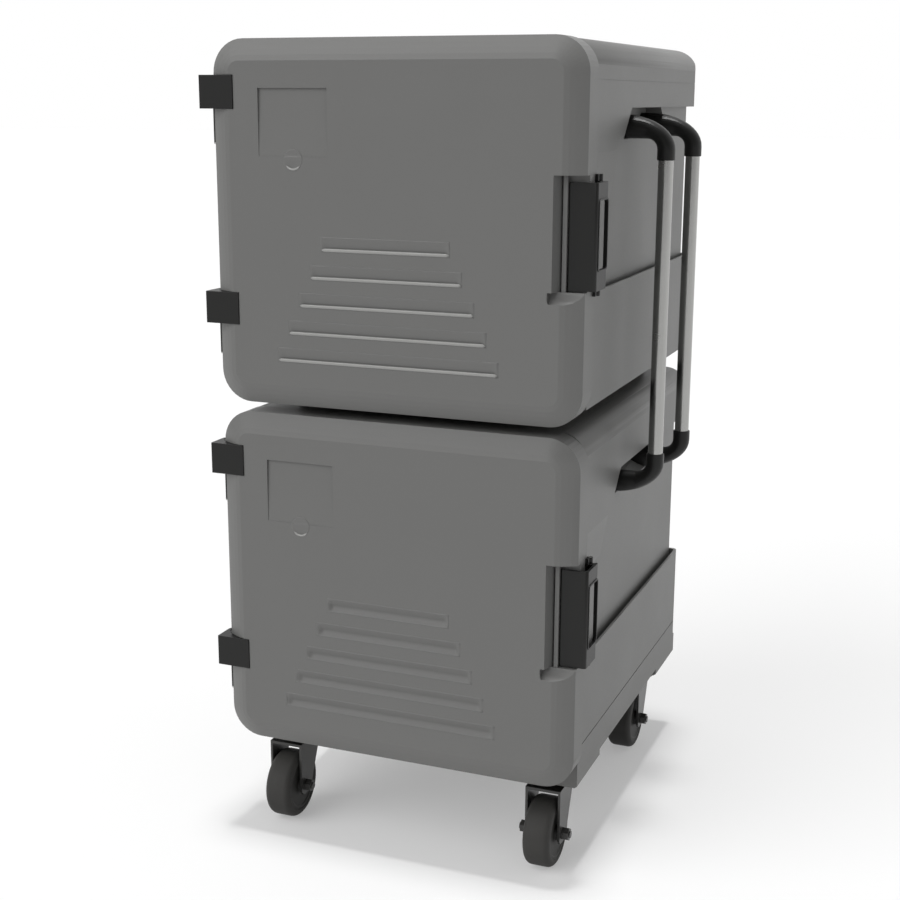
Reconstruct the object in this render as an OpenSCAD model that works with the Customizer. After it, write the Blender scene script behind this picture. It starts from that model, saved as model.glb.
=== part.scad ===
// Enclosed meal tray cart: two insulated front-loading cabinets stacked on a caster base,
// with two upright tubes on the right side that serve as the push handle.
// X runs across the doors, +Y runs from the doors to the back, Z is up.
// The origin lies on the floor, under the middle of the cart's overall width and depth.

/* [Cabinets] */
// Overall width of one cabinet over cap and skirt
cab_w = 510; // [470:1:560]
// Depth of one cabinet from its front frame to its back
cab_d = 570; // [540:1:620]
// Height of one cabinet from skirt bottom to roof
cab_h = 471; // [455:1:500]
// Gap between the lower cabinet's roof and the upper one's skirt
box_gap = 33; // [32:1:44]
// How far the middle wall stands back from cap and skirt
wall_inset = 10; // [7:0.5:12]
// Height of the skirt that runs round the foot of a cabinet
skirt_h = 152; // [140:1:158]
// Height of the cap that overhangs the wall
cap_h = 86; // [78:1:90]
// Radius of the roof edge
roof_r = 32; // [24:1:46]
// Radius of the upright rear corners
corner_r = 8; // [5:0.5:12]
// Wall thickness of the moulded outer shell
shell_t = 4.5; // [3:0.5:6]
// Width of the gutter between wall and skirt
gutter_w = 6.5; // [5:0.5:8]
// Depth of the gutter between wall and skirt
gutter_d = 16; // [8:1:24]
// Depth of the stacking recess in the roof
nest_d = 6; // [4:0.5:9]

/* [Interior] */
// Width of the meal tray that slides in
tray_w = 356; // [330:1:370]
// Play between a tray and the liner wall on each side
tray_play = 5; // [3:0.5:8]
// Reach of each tray ledge from the liner wall
ledge_reach = 15; // [12:0.5:20]
// Number of tray levels in each cabinet
levels = 5; // [4:1:6]
// Distance from one tray level to the next
level_pitch = 68; // [50:1:70]
// Thickness of a tray ledge
ledge_t = 5; // [4:0.5:7]
// Wall thickness of the liner
liner_t = 3; // [2:0.5:4]
// Insulation below the liner, above it and behind it
foam_t = 40; // [34:1:44]

/* [Doors] */
// How far a door stands past its cabinet on each side
door_side = 7.5; // [4:0.5:25]
// How far a door stands above the roof of its cabinet
door_over = 2; // [0:0.5:4]
// Thickness of a door
door_t = 55.5; // [50:0.5:60]
// How far a door hangs below the skirt of its cabinet
door_drop = 17; // [12:1:20]
// Corner radius of a door
door_r = 45; // [34:1:55]
// Width of the chamfer round the door face
bevel_w = 29; // [20:1:32]
// Depth of the chamfer round the door face
bevel_d = 14; // [10:1:18]
// Wall thickness of the door moulding
door_skin = 4; // [3:0.5:5]
// Gap between door and cabinet that the gasket fills
seal_gap = 2.5; // [2:0.5:4]
// Number of grooves in the door face
grooves = 5; // [3:1:5]
// Distance from one groove to the next
groove_pitch = 38; // [34:1:40]
// Height of one groove
groove_h = 17; // [12:1:20]
// Depth of a groove at its lower ledge
groove_d = 8; // [4:0.5:10]

/* [Hinges] */
// How far the hinge axis stands out from the door edge
pin_out = 8; // [8:0.5:11]
// How far the hinge axis lies behind the door face
pin_back = 30; // [24:0.5:31]
// Diameter of a hinge pin
pin_d = 4.5; // [4:0.25:5]
// Wall of plastic round a hinge pin in the door's block
knuckle_wall = 4.15; // [3:0.05:4.5]
// Wall of plastic round a hinge pin in the bracket
bracket_wall = 1.1; // [1:0.1:2]
// Running clearance of the pin in the door's block, on the radius
pin_clear = 0.1; // [0.05:0.01:0.1]
// Height of a hinge block
block_h = 44; // [36:1:50]
// Width of a hinge block
block_w = 51; // [46:1:56]
// How far the bracket reaches below its block
bracket_drop = 45; // [36:1:52]
// Thickness of the bracket's arm
arm_t = 5; // [4:0.2:6]

/* [Latches] */
// Height of the latch lever
latch_h = 135; // [120:1:140]
// Width of the lever's front plate
latch_w = 37.5; // [30:0.5:40]
// Thickness of the lever
latch_t = 4; // [3:0.5:5]
// Depth of the front plate behind the door face
latch_back = 18; // [14:0.5:20]
// Diameter of the lever's pins
latch_pin_d = 5; // [4:0.5:6]
// How far the lever stands out from the door edge
latch_side = 12.5; // [11:0.5:14]

/* [Handle] */
// Outside diameter of a handle tube
tube_d = 21; // [18:0.5:26]
// Wall of a handle tube
tube_t = 1.5; // [1:0.25:2.5]
// Distance between the two tubes
tube_gap = 164; // [150:1:180]
// How far the tubes stand out from the cabinet side
tube_out = 45; // [40:1:60]
// Drop from the elbow's root to its mouth
elbow_drop = 44.5; // [42:0.5:52]
// Depth of the hand grip under the cap
grip_d = 24; // [16:1:26]
// Height of the hand grip under the cap
grip_h = 42; // [40:1:50]

/* [Casters and base] */
// Wheel diameter
wheel_d = 100; // [90:1:110]
// Tread width
wheel_w = 40; // [32:1:42]
// Horizontal distance from swivel axis to wheel axis
trail = 44; // [38:1:46]
// Clearance between a wheel and the crown of its fork
fork_gap = 16; // [10:1:20]
// Height of the swivel race between crown and plate
race_h = 6; // [5:0.5:9]
// Distance from the cabinet side to the swivel axes
caster_side = 51; // [48:1:60]
// Distance from the cabinet front to the front swivel axes
caster_front = 64; // [58:1:72]
// Distance from the cabinet back to the rear swivel axes
caster_rear = 72; // [58:1:80]
// Height of the base from its pads to its rim
base_h = 62; // [58:1:72]
// Height of the base rim that wraps the lower cabinet
rim_h = 25; // [18:1:27]
// Wall thickness of the base
base_t = 6; // [4:0.5:7]

/* [Hidden] */
$fn = 64;
eps = 0.01;
seat = 0.3;
shell_grey = [0.44, 0.44, 0.435];
liner_grey = [0.62, 0.62, 0.61];
hard_black = [0.16, 0.16, 0.16];

// Cabinet: heights are from the bottom of its skirt, depths from the door face
front_y = door_t + seal_gap;
back_y = front_y + cab_d;
mid_y = (front_y + back_y) / 2;
box_pitch = cab_h + box_gap;
half_w = cab_w / 2;
wall_w = half_w - wall_inset;
cap_z = cab_h - cap_h;
cap_line_z = cap_z + 35;
cap_line_w = 0.8;
cap_line_d = 0.5;
inner_top = cab_h - nest_d - shell_t;
rebate = base_t + seat;
plinth_side = 40;
plinth_w = 2 * (wall_w - plinth_side);
plinth_fore = 52;
plinth_aft = 48;
plinth_front = front_y + plinth_fore;
plinth_back = back_y - plinth_aft;
plinth_r = 30;
plinth_t = 6;
plinth_rib = 90;
nest_play = 1.5;

// Casters
wheel_r = wheel_d / 2;
plate_t = 4;
plate_x = 84;
plate_y = 90;
bolt_in = 11;
bolt_r = 3;
bolt_head = 4;
bolt_head_r = 5.5;
bolt_reach = 18;
plate_r = 8;
crown_z = wheel_d + fork_gap;
crown_t = 4;
crown_out = 9;
race_z = crown_z + crown_t;
race_t = 2;
race_clear = 0.5;
race_r = 30;
plate_z = race_z + race_h;
caster_h = plate_z + plate_t;
king_d = 12;
king_head = 3;
axle_d = 10;
leg_in = wheel_w / 2 + 2.5;
leg_t = 3.5;
leg_front = 15;
leg_w = 59;
leg_h = 13;
nut_r = 9.5;
nut_h = 10;
swivel_xs = [-half_w + caster_side, half_w - caster_side];
swivel_ys = [front_y + caster_front, back_y - caster_rear];

// Base, and the heights of the two cabinets above it
pad_h = 14;
pad_chamfer = 5;
pad_side = 10;
pad_end = 5;
rim_line = 1.5;
floor_t = 12;
rib_t = 6;
rib_x = 70;
lower_z = caster_h + base_h - rim_h;
upper_z = lower_z + box_pitch;

// Liner and tray racks
rack_t = 2;
liner_hw = tray_w / 2 + tray_play + rack_t;
liner_z0 = shell_t + foam_t + liner_t;
liner_z1 = inner_top - foam_t - liner_t;
liner_back = back_y - shell_t - foam_t - liner_t;
flange_w = 14;
flange_t = 2.5;
first_ledge = 24;

// Hand grip under the cap: a pocket with leaning ends and a sloping floor
grip_top_half = 101;
grip_lean = 40;
grip_slope = 14;
grip_x = wall_w - grip_d;

// Door: heights are from the bottom of the cabinet skirt
door_z0 = -door_drop;
door_z1 = cab_h + door_over;
door_h = door_z1 - door_z0;
door_x = half_w + door_side;
door_rim = bevel_w * 0.62;
door_back_r = 2.5;
door_back_in = 9;
cavity_y = groove_d + door_skin;
groove_low = 63;
groove_half = 159;
groove_step = 17;
groove_shift = -7;
card_in = 73.5;
card_down = 64;
card_w = 101.5;
card_h = 88;
card_top_d = 3.2;
card_foot_d = 0.5;
notch_r = 15;
notch_out = 8;
channel_in = 40;

// Hinges
hinge_x = -door_x - pin_out;
hinge_y = pin_back;
knuckle_r = pin_d / 2 + knuckle_wall;
bracket_r = pin_d / 2 + bracket_wall;
pin_head = 2;
block_proud = 1.5;
block_back = 16;
block_end = hinge_x - knuckle_r + block_w;
block_low = 110;
block_high = 47;
block_zs = [door_z0 + block_low, door_z1 - block_high - block_h];
foot_w = 32;
foot_y0 = front_y + 6;
foot_y1 = foot_y0 + foot_w;

// Latch: lever, mount and pin ride on the door
latch_x = door_x + 3;
latch_y = door_t + 1.5;
latch_r = latch_pin_d / 2 + 2.5;
latch_out = door_x + latch_side;
latch_end = latch_y + 7;
latch_z0 = (door_z0 + door_z1 - latch_h) / 2;
latch_z1 = latch_z0 + latch_h;
recess_x = latch_out - latch_w - 15;
recess_floor = latch_back + latch_t + 2;
recess_wall = 6;
recess_below = 18;
recess_above = 9;
rib_gap = 2.5;
rib_back = 3;
scoop_r = 20;
scoop_out = 6;
lobe_h = 16;
slot_r = 4;
slot_rim = 2;
ear_gap = 0.5;
ear_h = 9;
ear_r = latch_pin_d / 2 + 1.5;
ear_reach = 11;
mount_t = 2.4;
keeper_h = 64;
keeper_z = latch_z0 + (latch_h - keeper_h) / 2;

// Front strip of the cabinet side that fades out above the keeper
pilaster_h = 55;
pilaster_z = cap_z - pilaster_h;
pilaster_foot = keeper_z + keeper_h + 9.5;
pilaster_lean = 62;
pilaster_end = mid_y - grip_top_half;

// Handle
tube_x = half_w + tube_out;
tube_ys = [mid_y - tube_gap / 2, mid_y + tube_gap / 2];
mouth_r = tube_d / 2 + 2;
root_hh = 16.5;
root_hw = 15.5;
root_z = cap_z - grip_h + root_hh + 0.5;
bend_in = 14.5;
bend_x = tube_x - mouth_r - bend_in;
bend_z = -root_hh - bend_in;
elbow_flat = grip_x + 14;
elbow_sides = 28;
socket = 18;

// Shift that puts the origin under the middle of the overall width and depth
x_min = hinge_x - knuckle_r;
x_max = tube_x + mouth_r;
y_min = -block_proud;
y_max = back_y;
shift = [-(x_min + x_max) / 2, -(y_min + y_max) / 2, 0];

module place(z = 0) translate(shift + [0, 0, z]) children();

// Prism with its outline in the XZ plane, from depth y0 to y1
module along_y(y0, y1) {
    translate([0, y1, 0]) rotate([90, 0, 0]) linear_extrude(height = y1 - y0) children();
}

// Prism with its outline in the YZ plane, from x0 to x1
module along_x(x0, x1) {
    translate([x0, 0, 0]) rotate([90, 0, 90]) linear_extrude(height = x1 - x0) children();
}

// Rectangle with rounded corners between two opposite points
module rounded(x0, y0, x1, y1, r) {
    if (r <= 0) translate([x0, y0]) square([x1 - x0, y1 - y0]);
    else union() {
        translate([x0 + r, y0]) square([x1 - x0 - 2 * r, y1 - y0]);
        translate([x0, y0 + r]) square([x1 - x0, y1 - y0 - 2 * r]);
        for (x = [x0 + r, x1 - r], y = [y0 + r, y1 - r]) translate([x, y]) circle(r);
    }
}

// Cabinet plan: square at the front, rounded at the back
module plan(hw, y0, y1, r) {
    translate([-hw, y0]) square([2 * hw, y1 - y0 - r]);
    translate([-hw + r, y0]) square([2 * hw - 2 * r, y1 - y0]);
    for (x = [-hw + r, hw - r]) translate([x, y1 - r]) circle(r);
}

// Cap: square at the front, rounded over its sides and back
module cap(i) {
    r = roof_r - i;
    hw = half_w - i;
    y0 = front_y + i;
    y1 = back_y - i;
    z0 = cap_z + i;
    z1 = i > 0 ? inner_top - i + shell_t : cab_h;
    intersection() {
        translate([0, 0, z0]) linear_extrude(height = z1 - z0)
            plan(hw, y0, y1, max(corner_r - i, 1));
        along_y(y0 - 1, y1 + 1) {
            translate([-hw - 1, z0 - 1]) square([2 * hw + 2, z1 - r - z0 + 1]);
            translate([-hw + r, z0]) square([2 * (hw - r), z1 - z0 + 1]);
            for (x = [-hw + r, hw - r]) translate([x, z1 - r]) circle(r);
        }
        along_x(-hw - 1, hw + 1) {
            translate([y0 - 1, z0 - 1]) square([y1 - y0 + 2, z1 - r - z0 + 1]);
            translate([y0 - 1, z0]) square([y1 - r - y0 + 1, z1 - z0 + 1]);
            translate([y1 - r, z1 - r]) circle(r);
        }
    }
}

// Hand grip pocket on the right side, its skin grown by g
module grip(g) {
    t = mid_y;
    a = grip_top_half + g;
    b = a + grip_lean;
    top = cap_z + max(g, eps);
    intersection() {
        along_x(grip_x - g, wall_w + 1)
            polygon([[t - a, top], [t + a, top],
                     [t + b, cap_z - grip_h - g], [t - b, cap_z - grip_h - g]]);
        along_y(t - b - 1, t + b + 1)
            polygon([[grip_x - g, top + 1], [wall_w + 2, top + 1],
                     [wall_w + 2, cap_z - grip_h - g], [wall_w, cap_z - grip_h - g],
                     [grip_x - g, cap_z - grip_h + grip_slope - g]]);
    }
}

// Front strip of the right wall that stays flush with the cap and fades out below
module pilaster() {
    intersection() {
        along_y(front_y, pilaster_end + 1)
            polygon([[wall_w - 1, cap_z + 1], [half_w, cap_z + 1], [half_w, pilaster_z],
                     [wall_w, pilaster_foot], [wall_w - 1, pilaster_foot]]);
        along_x(wall_w - 2, half_w + 1)
            polygon([[front_y, cap_z + 1], [pilaster_end, cap_z + 1], [pilaster_end, cap_z],
                     [pilaster_end - grip_lean, cap_z - grip_h],
                     [pilaster_end - pilaster_lean, pilaster_z],
                     [pilaster_end - pilaster_lean, pilaster_foot],
                     [front_y, pilaster_foot]]);
    }
}

// The cabinet's outline, taken in by i from its outer faces
module cabinet_body(i) {
    lo = i > 0 ? rim_h + 2 + i : 0;
    inset = i > 0 ? rebate : 0;
    round_r = max(corner_r - i, 1);
    difference() {
        union() {
            translate([0, 0, lo]) linear_extrude(height = skirt_h - lo - (i > 0 ? gutter_d + i : 0))
                plan(half_w - i, front_y + i, back_y - i, round_r);
            translate([0, 0, i]) linear_extrude(height = cap_z + 2 * i + 1)
                plan(wall_w - i, front_y + i + inset, back_y - wall_inset - i, round_r);
            if (i > 0) translate([0, 0, lo]) linear_extrude(height = cap_z + 3 * i + 1 - lo)
                plan(wall_w - i, front_y + i, back_y - wall_inset - i, round_r);
            cap(i);
        }
        for (m = [0, 1]) mirror([m, 0, 0]) grip(i);
    }
}

module shell(lower) {
    color(shell_grey) difference() {
        union() {
            difference() {
                cabinet_body(0);
                gutter();
            }
            for (m = [0, 1]) mirror([m, 0, 0]) pilaster();
        }
        cabinet_body(shell_t);
        // opening for the liner, and the rebate that its flange sits in
        along_y(front_y - 1, front_y + shell_t + 1)
            rounded(-liner_hw - liner_t - seat, liner_z0 - liner_t - seat,
                    liner_hw + liner_t + seat, liner_z1 + liner_t + seat, 12);
        along_y(front_y - 1, front_y + flange_t)
            rounded(-liner_hw - flange_w - seat, liner_z0 - flange_w - seat,
                    liner_hw + flange_w + seat, liner_z1 + flange_w + seat, 22);
        // fine line round the upper cap
        if (!lower) translate([0, 0, cap_line_z]) linear_extrude(height = cap_line_w) difference() {
            translate([-half_w - 1, front_y - 1]) square([cab_w + 2, cab_d + 2]);
            plan(half_w - cap_line_d, front_y, back_y - cap_line_d, corner_r);
        }
        // stacking recess in the roof
        translate([0, 0, cab_h - nest_d]) linear_extrude(height = nest_d + 1)
            rounded(-plinth_w / 2 - nest_play, plinth_front - nest_play,
                    plinth_w / 2 + nest_play, plinth_back + nest_play, plinth_r + nest_play);
        if (lower) translate([0, 0, -1]) linear_extrude(height = rim_h + 1) difference() {
            translate([-half_w - 1, front_y - 1]) square([cab_w + 2, cab_d + 2]);
            plan(half_w - rebate, front_y + rebate, back_y - rebate, corner_r);
        }
    }
}

// Gutter that runs round the wall behind the rim of the skirt
module gutter() {
    translate([0, 0, skirt_h - gutter_d]) linear_extrude(height = gutter_d + eps) difference() {
        plan(wall_w + gutter_w, front_y + 12, back_y - wall_inset + gutter_w, corner_r);
        plan(wall_w, front_y, back_y - wall_inset, corner_r);
    }
}

module liner_solid(g, y0) {
    along_y(y0, liner_back + liner_t + g)
        rounded(-liner_hw - liner_t - g, liner_z0 - liner_t - g,
                liner_hw + liner_t + g, liner_z1 + liner_t + g, 12);
}

module foam() {
    color([0.93, 0.9, 0.78]) difference() {
        cabinet_body(shell_t + seat);
        liner_solid(seat, front_y);
    }
}

module liner() {
    color(liner_grey) difference() {
        union() {
            liner_solid(0, front_y);
            along_y(front_y, front_y + flange_t)
                rounded(-liner_hw - flange_w, liner_z0 - flange_w,
                        liner_hw + flange_w, liner_z1 + flange_w, 22);
        }
        along_y(front_y - 1, liner_back)
            rounded(-liner_hw, liner_z0, liner_hw, liner_z1, 9);
    }
}

// Left and right racks of tray ledges, the ledges' front ends cut back as lead-ins
module racks() {
    top = liner_z0 + first_ledge + (levels - 1) * level_pitch + ledge_t;
    color(liner_grey) for (m = [0, 1]) mirror([m, 0, 0]) difference() {
        along_y(front_y + 22, liner_back - 6) polygon(concat(
            [[liner_hw, liner_z0 + 9], [liner_hw, top + 12], [liner_hw - rack_t, top + 12]],
            [for (k = [levels - 1:-1:0], p = ledge_points(k)) p],
            [[liner_hw - rack_t, liner_z0 + 9]]));
        translate([liner_hw - rack_t - ledge_reach, front_y + 21, 0])
            linear_extrude(height = cab_h) polygon([[-1, 0], [ledge_reach, 0], [-1, ledge_reach + 1]]);
    }
}

function ledge_points(k) = let (z = liner_z0 + first_ledge + k * level_pitch, x = liner_hw - rack_t)
    [[x, z + ledge_t], [x - ledge_reach + rack_t, z + ledge_t],
     [x - ledge_reach + rack_t, z + 1.5], [x, z - 3]];

// Door outline in the XZ plane, taken in by i
module door_outline(i) {
    rounded(-door_x + i, door_z0 + i, door_x - i, door_z1 - i, door_r - i);
}

// Slightly crowned chamfer of the door, as [distance in from the outline, depth]
function door_edge(t) = [bevel_w * (1 - t), bevel_d * pow(t, 1.35)];

module door_solid() {
    hull() {
        for (x = [-door_x + door_r, door_x - door_r], z = [door_z0 + door_r, door_z1 - door_r])
            translate([x, 0, z]) rotate([-90, 0, 0]) rotate_extrude($fn = 40) polygon(concat(
                [[0, 0]], [for (k = [0:4]) let (e = door_edge(k / 4)) [door_r - e[0], e[1]]],
                [[door_r, door_t - door_back_r], [door_r - door_back_r, door_t], [0, door_t]]));
    }
}

// Latch recess, in plan a leaning wall, a groove, an upright rib and the floor
module latch_recess() {
    foot = latch_z0 - 2;
    wall_x = recess_x + recess_wall;
    rib_x0 = wall_x + rib_gap;
    rib_x1 = latch_out - latch_w - 1;
    rib_y0 = latch_back - rib_back;
    translate([0, 0, foot]) linear_extrude(height = latch_h + 2 + recess_above)
        polygon([[recess_x, 0], [wall_x, latch_back], [wall_x, recess_floor],
                 [rib_x0, recess_floor], [rib_x0, rib_y0], [rib_x1, rib_y0], [rib_x1, recess_floor],
                 [door_x + 1, recess_floor], [door_x + 1, -1], [recess_x - 0.5, -1]]);
    // finger scoop under the recess: a concave ledge with a rounded end
    intersection() {
        along_x(recess_x - recess_wall, door_x + 1) intersection() {
            translate([-scoop_out, foot + 4]) circle(scoop_r);
            translate([-1, foot - recess_below]) square([scoop_r + 1, recess_below + eps]);
        }
        along_y(-1, scoop_r) rounded(recess_x - recess_wall, foot - recess_below + 2, door_x + 10,
                                     foot + 10, 6);
    }
    // room for the lever's knuckles at the back corner of the door
    translate([latch_x, latch_y, latch_z0 - ear_h - 3])
        cylinder(h = latch_h + 2 * (ear_h + 3), r = latch_r + 1);
}

module face_grooves() {
    for (k = [0:grooves - 1]) {
        z = door_z0 + groove_low + k * groove_pitch;
        hw = groove_half - groove_step * k;
        along_x(groove_shift - hw, groove_shift + hw) polygon(concat(
            [[-1, z + groove_h + 1], [-1, z]],
            [for (a = [0:15:90]) [groove_d * sin(a), z + groove_d * (1 - cos(a))]],
            [[groove_d * 0.55, z + groove_h * 0.8], [0, z + groove_h + 1]]));
    }
}

// Card pocket: a field that deepens towards its top, with a thumb notch under it
module card_pocket() {
    z1 = door_z1 - card_down;
    z0 = z1 - card_h;
    along_x(-door_x + card_in, -door_x + card_in + card_w)
        polygon([[-1, z0], [card_foot_d, z0], [card_top_d, z1], [-1, z1]]);
    translate([-door_x + card_in + card_w / 2, -notch_out, z0 - 4]) sphere(notch_r);
}

// Box round each hinge block, grown by g, from the door edge inwards
module block_room(g) {
    for (z = block_zs) translate([-door_x - 1, -block_proud - 1, z - g])
        cube([block_end + g + door_x + 1, block_proud + 1 + block_back + g, block_h + 2 * g]);
}

// Box round the latch recess and its scoop, grown by g
module latch_room(g) {
    translate([recess_x - recess_wall - g, -1, latch_z0 - recess_below - g])
        cube([door_x, 1 + recess_floor + g, latch_h + recess_below + recess_above + 2 * g]);
}

module door_shell() {
    color(shell_grey) difference() {
        door_solid();
        difference() {
            along_y(cavity_y, door_t + 1) door_outline(door_rim);
            block_room(seat + door_skin);
            latch_room(door_skin);
        }
        along_y(door_t - liner_t - seat, door_t + 1) door_outline(door_back_in);
        block_room(seat);
        latch_recess();
        face_grooves();
        card_pocket();
    }
}

module door_foam() {
    color([0.93, 0.9, 0.78]) difference() {
        along_y(cavity_y + seat, door_t - liner_t - 2 * seat) door_outline(door_rim + seat);
        block_room(2 * seat + door_skin);
        latch_room(door_skin + seat);
    }
}

// Inner panel: closes the moulding, with two stiffening channels pressed in
module door_liner() {
    color(liner_grey) difference() {
        along_y(door_t - liner_t, door_t) door_outline(door_back_in + seat);
        for (z = [door_z0 + door_h * 0.33, door_z0 + door_h * 0.67])
            along_x(-liner_hw + channel_in, liner_hw - channel_in)
                polygon([[door_t - 1.6, z - 9], [door_t + 1, z - 12],
                         [door_t + 1, z + 12], [door_t - 1.6, z + 9]]);
    }
}

module door_gasket() {
    g = liner_hw + 18;
    color([0.1, 0.1, 0.1]) along_y(door_t, front_y - 0.2) difference() {
        rounded(-g, liner_z0 - 18, g, liner_z1 + 18, 24);
        rounded(-g + 11, liner_z0 - 7, g - 11, liner_z1 + 7, 13);
    }
}

// Door half of a hinge: wraps the door edge and turns on the pin
module hinge_block(k) {
    z = block_zs[k];
    color(hard_black) translate([0, 0, z]) difference() {
        linear_extrude(height = block_h) union() {
            translate([hinge_x, hinge_y]) circle(knuckle_r);
            translate([hinge_x - knuckle_r, -block_proud])
                square([knuckle_r * 2 - 1, hinge_y + block_proud]);
            translate([hinge_x, -block_proud]) square([block_end - hinge_x, block_back + block_proud]);
        }
        translate([hinge_x, hinge_y, -1]) cylinder(h = block_h + 2, r = pin_d / 2 + pin_clear);
        translate([hinge_x - knuckle_r - 1, -block_proud - 1, -1]) rotate([0, 0, 45])
            cube([2.6, 2.6, block_h * 3], center = true);
    }
}

// Body half of a hinge: knuckle, arm outside the door edge, foot on the cabinet side
module hinge_bracket(k) {
    z = block_zs[k] - seat - bracket_drop;
    foot_x = hinge_x + arm_t / 2 - 1;
    color(hard_black) translate([0, 0, z]) difference() {
        linear_extrude(height = bracket_drop) union() {
            translate([hinge_x, hinge_y]) circle(bracket_r);
            translate([hinge_x - arm_t / 2, hinge_y]) square([arm_t, foot_y1 - hinge_y]);
            translate([foot_x, foot_y0]) square([-half_w - foot_x, foot_y1 - foot_y0]);
        }
        translate([hinge_x, hinge_y, -1]) cylinder(h = bracket_drop + 2, r = pin_d / 2 + 0.05);
    }
}

module hinge_pins() {
    color([0.75, 0.75, 0.75]) for (z = block_zs) translate([hinge_x, hinge_y, 0]) {
        translate([0, 0, z - bracket_drop]) cylinder(h = bracket_drop + block_h - 4, r = pin_d / 2);
        translate([0, 0, z - bracket_drop - seat - pin_head]) cylinder(h = pin_head, r = bracket_r);
        translate([0, 0, z - bracket_drop - seat]) cylinder(h = seat + 1, r = pin_d / 2);
    }
}

// Latch lever: front plate, leg round the door edge with a slot, two knuckles on the pin
module latch_lever() {
    leg_x = latch_out - latch_t;
    leg_y1 = latch_end - latch_t / 2;
    plate_x0 = latch_out - latch_w + latch_t / 2;
    color(hard_black) difference() {
        union() {
            translate([0, 0, latch_z0]) linear_extrude(height = latch_h) union() {
                translate([plate_x0, latch_back]) square([leg_x - plate_x0, latch_t]);
                translate([plate_x0, latch_back + latch_t / 2]) circle(latch_t / 2);
                translate([leg_x, latch_back + latch_t]) circle(latch_t);
                translate([leg_x, latch_back + latch_t]) square([latch_t, leg_y1 - latch_back - latch_t]);
                translate([leg_x + latch_t / 2, leg_y1]) circle(latch_t / 2);
            }
            for (z = [latch_z0, latch_z1 - lobe_h]) translate([0, 0, z])
                linear_extrude(height = lobe_h) union() {
                    translate([latch_x, latch_y]) circle(latch_r);
                    translate([latch_x, latch_y - latch_r]) square([leg_x + 1 - latch_x, 2 * latch_r]);
                }
            along_x(latch_out - eps, latch_out + 1.2) slot_outline(slot_rim);
        }
        translate([latch_x, latch_y, latch_z0 - 1])
            cylinder(h = latch_h + 2, r = latch_pin_d / 2 + 0.08);
        along_x(leg_x - 1, latch_out + 2) slot_outline(0);
    }
}

// Outline of the finger slot in the lever's leg, grown by g
module slot_outline(g) {
    rounded(latch_back + 7 - g, latch_z0 + lobe_h + 10 - g,
            latch_end - slot_rim - 0.5 + g, latch_z1 - lobe_h - 6 + g, slot_r + g);
}

// Latch mount: strip on the door edge with an ear above and below the lever
module latch_mount() {
    y0 = latch_y - ear_reach;
    color(hard_black) difference() {
        union() {
            translate([door_x, y0, latch_z0 - ear_gap - ear_h])
                cube([mount_t, ear_reach - latch_r - 1, latch_h + 2 * (ear_gap + ear_h)]);
            for (z = [latch_z0 - ear_gap - ear_h, latch_z1 + ear_gap]) translate([0, 0, z])
                linear_extrude(height = ear_h) union() {
                    translate([latch_x, latch_y]) circle(ear_r);
                    translate([door_x, y0]) square([latch_x - door_x + 1, ear_reach]);
                }
        }
        translate([latch_x, latch_y, latch_z0 - ear_gap - ear_h - 1])
            cylinder(h = latch_h + 2 * (ear_gap + ear_h + 1), r = latch_pin_d / 2 + 0.05);
    }
}

// Two short pins, through the ears into the lever's knuckles
module latch_pin() {
    pin_h = ear_h + ear_gap + lobe_h - 1;
    color([0.75, 0.75, 0.75])
        for (z = [latch_z0 - ear_gap - ear_h, latch_z1 + ear_gap + ear_h - pin_h])
            translate([latch_x, latch_y, z]) cylinder(h = pin_h, r = latch_pin_d / 2);
}

// Keeper on the cabinet wall behind the latch: base plate and strike rib
module latch_keeper() {
    rib_x = half_w + 1.4;
    rib_y = latch_end + 10;
    color(hard_black) translate([0, 0, keeper_z])
        linear_extrude(height = keeper_h) union() {
            translate([wall_w, front_y + 3]) square([3, rib_y + 20 - front_y]);
            translate([wall_w, rib_y - 3]) square([rib_x - wall_w, 6]);
            translate([rib_x, rib_y]) circle(3);
        }
}

// Spacer between the cabinets, nested in the lower cabinet's roof
module stacking_plinth() {
    h = box_gap + nest_d;
    hw = plinth_w / 2;
    t = plinth_t;
    color([0.2, 0.2, 0.2]) difference() {
        linear_extrude(height = h) rounded(-hw, plinth_front, hw, plinth_back, plinth_r);
        translate([0, 0, -1]) linear_extrude(height = h - t + 1) difference() {
            rounded(-hw + t, plinth_front + t, hw - t, plinth_back - t, plinth_r - t);
            for (y = [mid_y - plinth_rib, mid_y + plinth_rib]) translate([-hw, y - t / 2])
                square([plinth_w, t]);
            translate([-t / 2, plinth_front]) square([t, plinth_back - plinth_front]);
        }
    }
}

// Elbow from the grip pocket to the tube: the underside runs flat into a tight arc, the back is a
// quarter of an ellipse, and each ring spans the two. Heights are from the middle of the root.
function elbow_back(x) = x < elbow_flat ? root_hh
    : bend_z + (root_hh - bend_z) * sqrt(1 - pow((x - elbow_flat) / (tube_x + mouth_r - elbow_flat), 2));

// Distance from the arc's centre to the back at angle q past upright
function elbow_reach(q) = let (
        e = bend_x - elbow_flat, a = tube_x + mouth_r - elbow_flat, b = root_hh - bend_z,
        qa = pow(sin(q) / a, 2) + pow(cos(q) / b, 2), qb = 2 * e * sin(q) / pow(a, 2),
        qc = pow(e / a, 2) - 1)
    (-qb + sqrt(qb * qb - 4 * qa * qc)) / (2 * qa);

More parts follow.
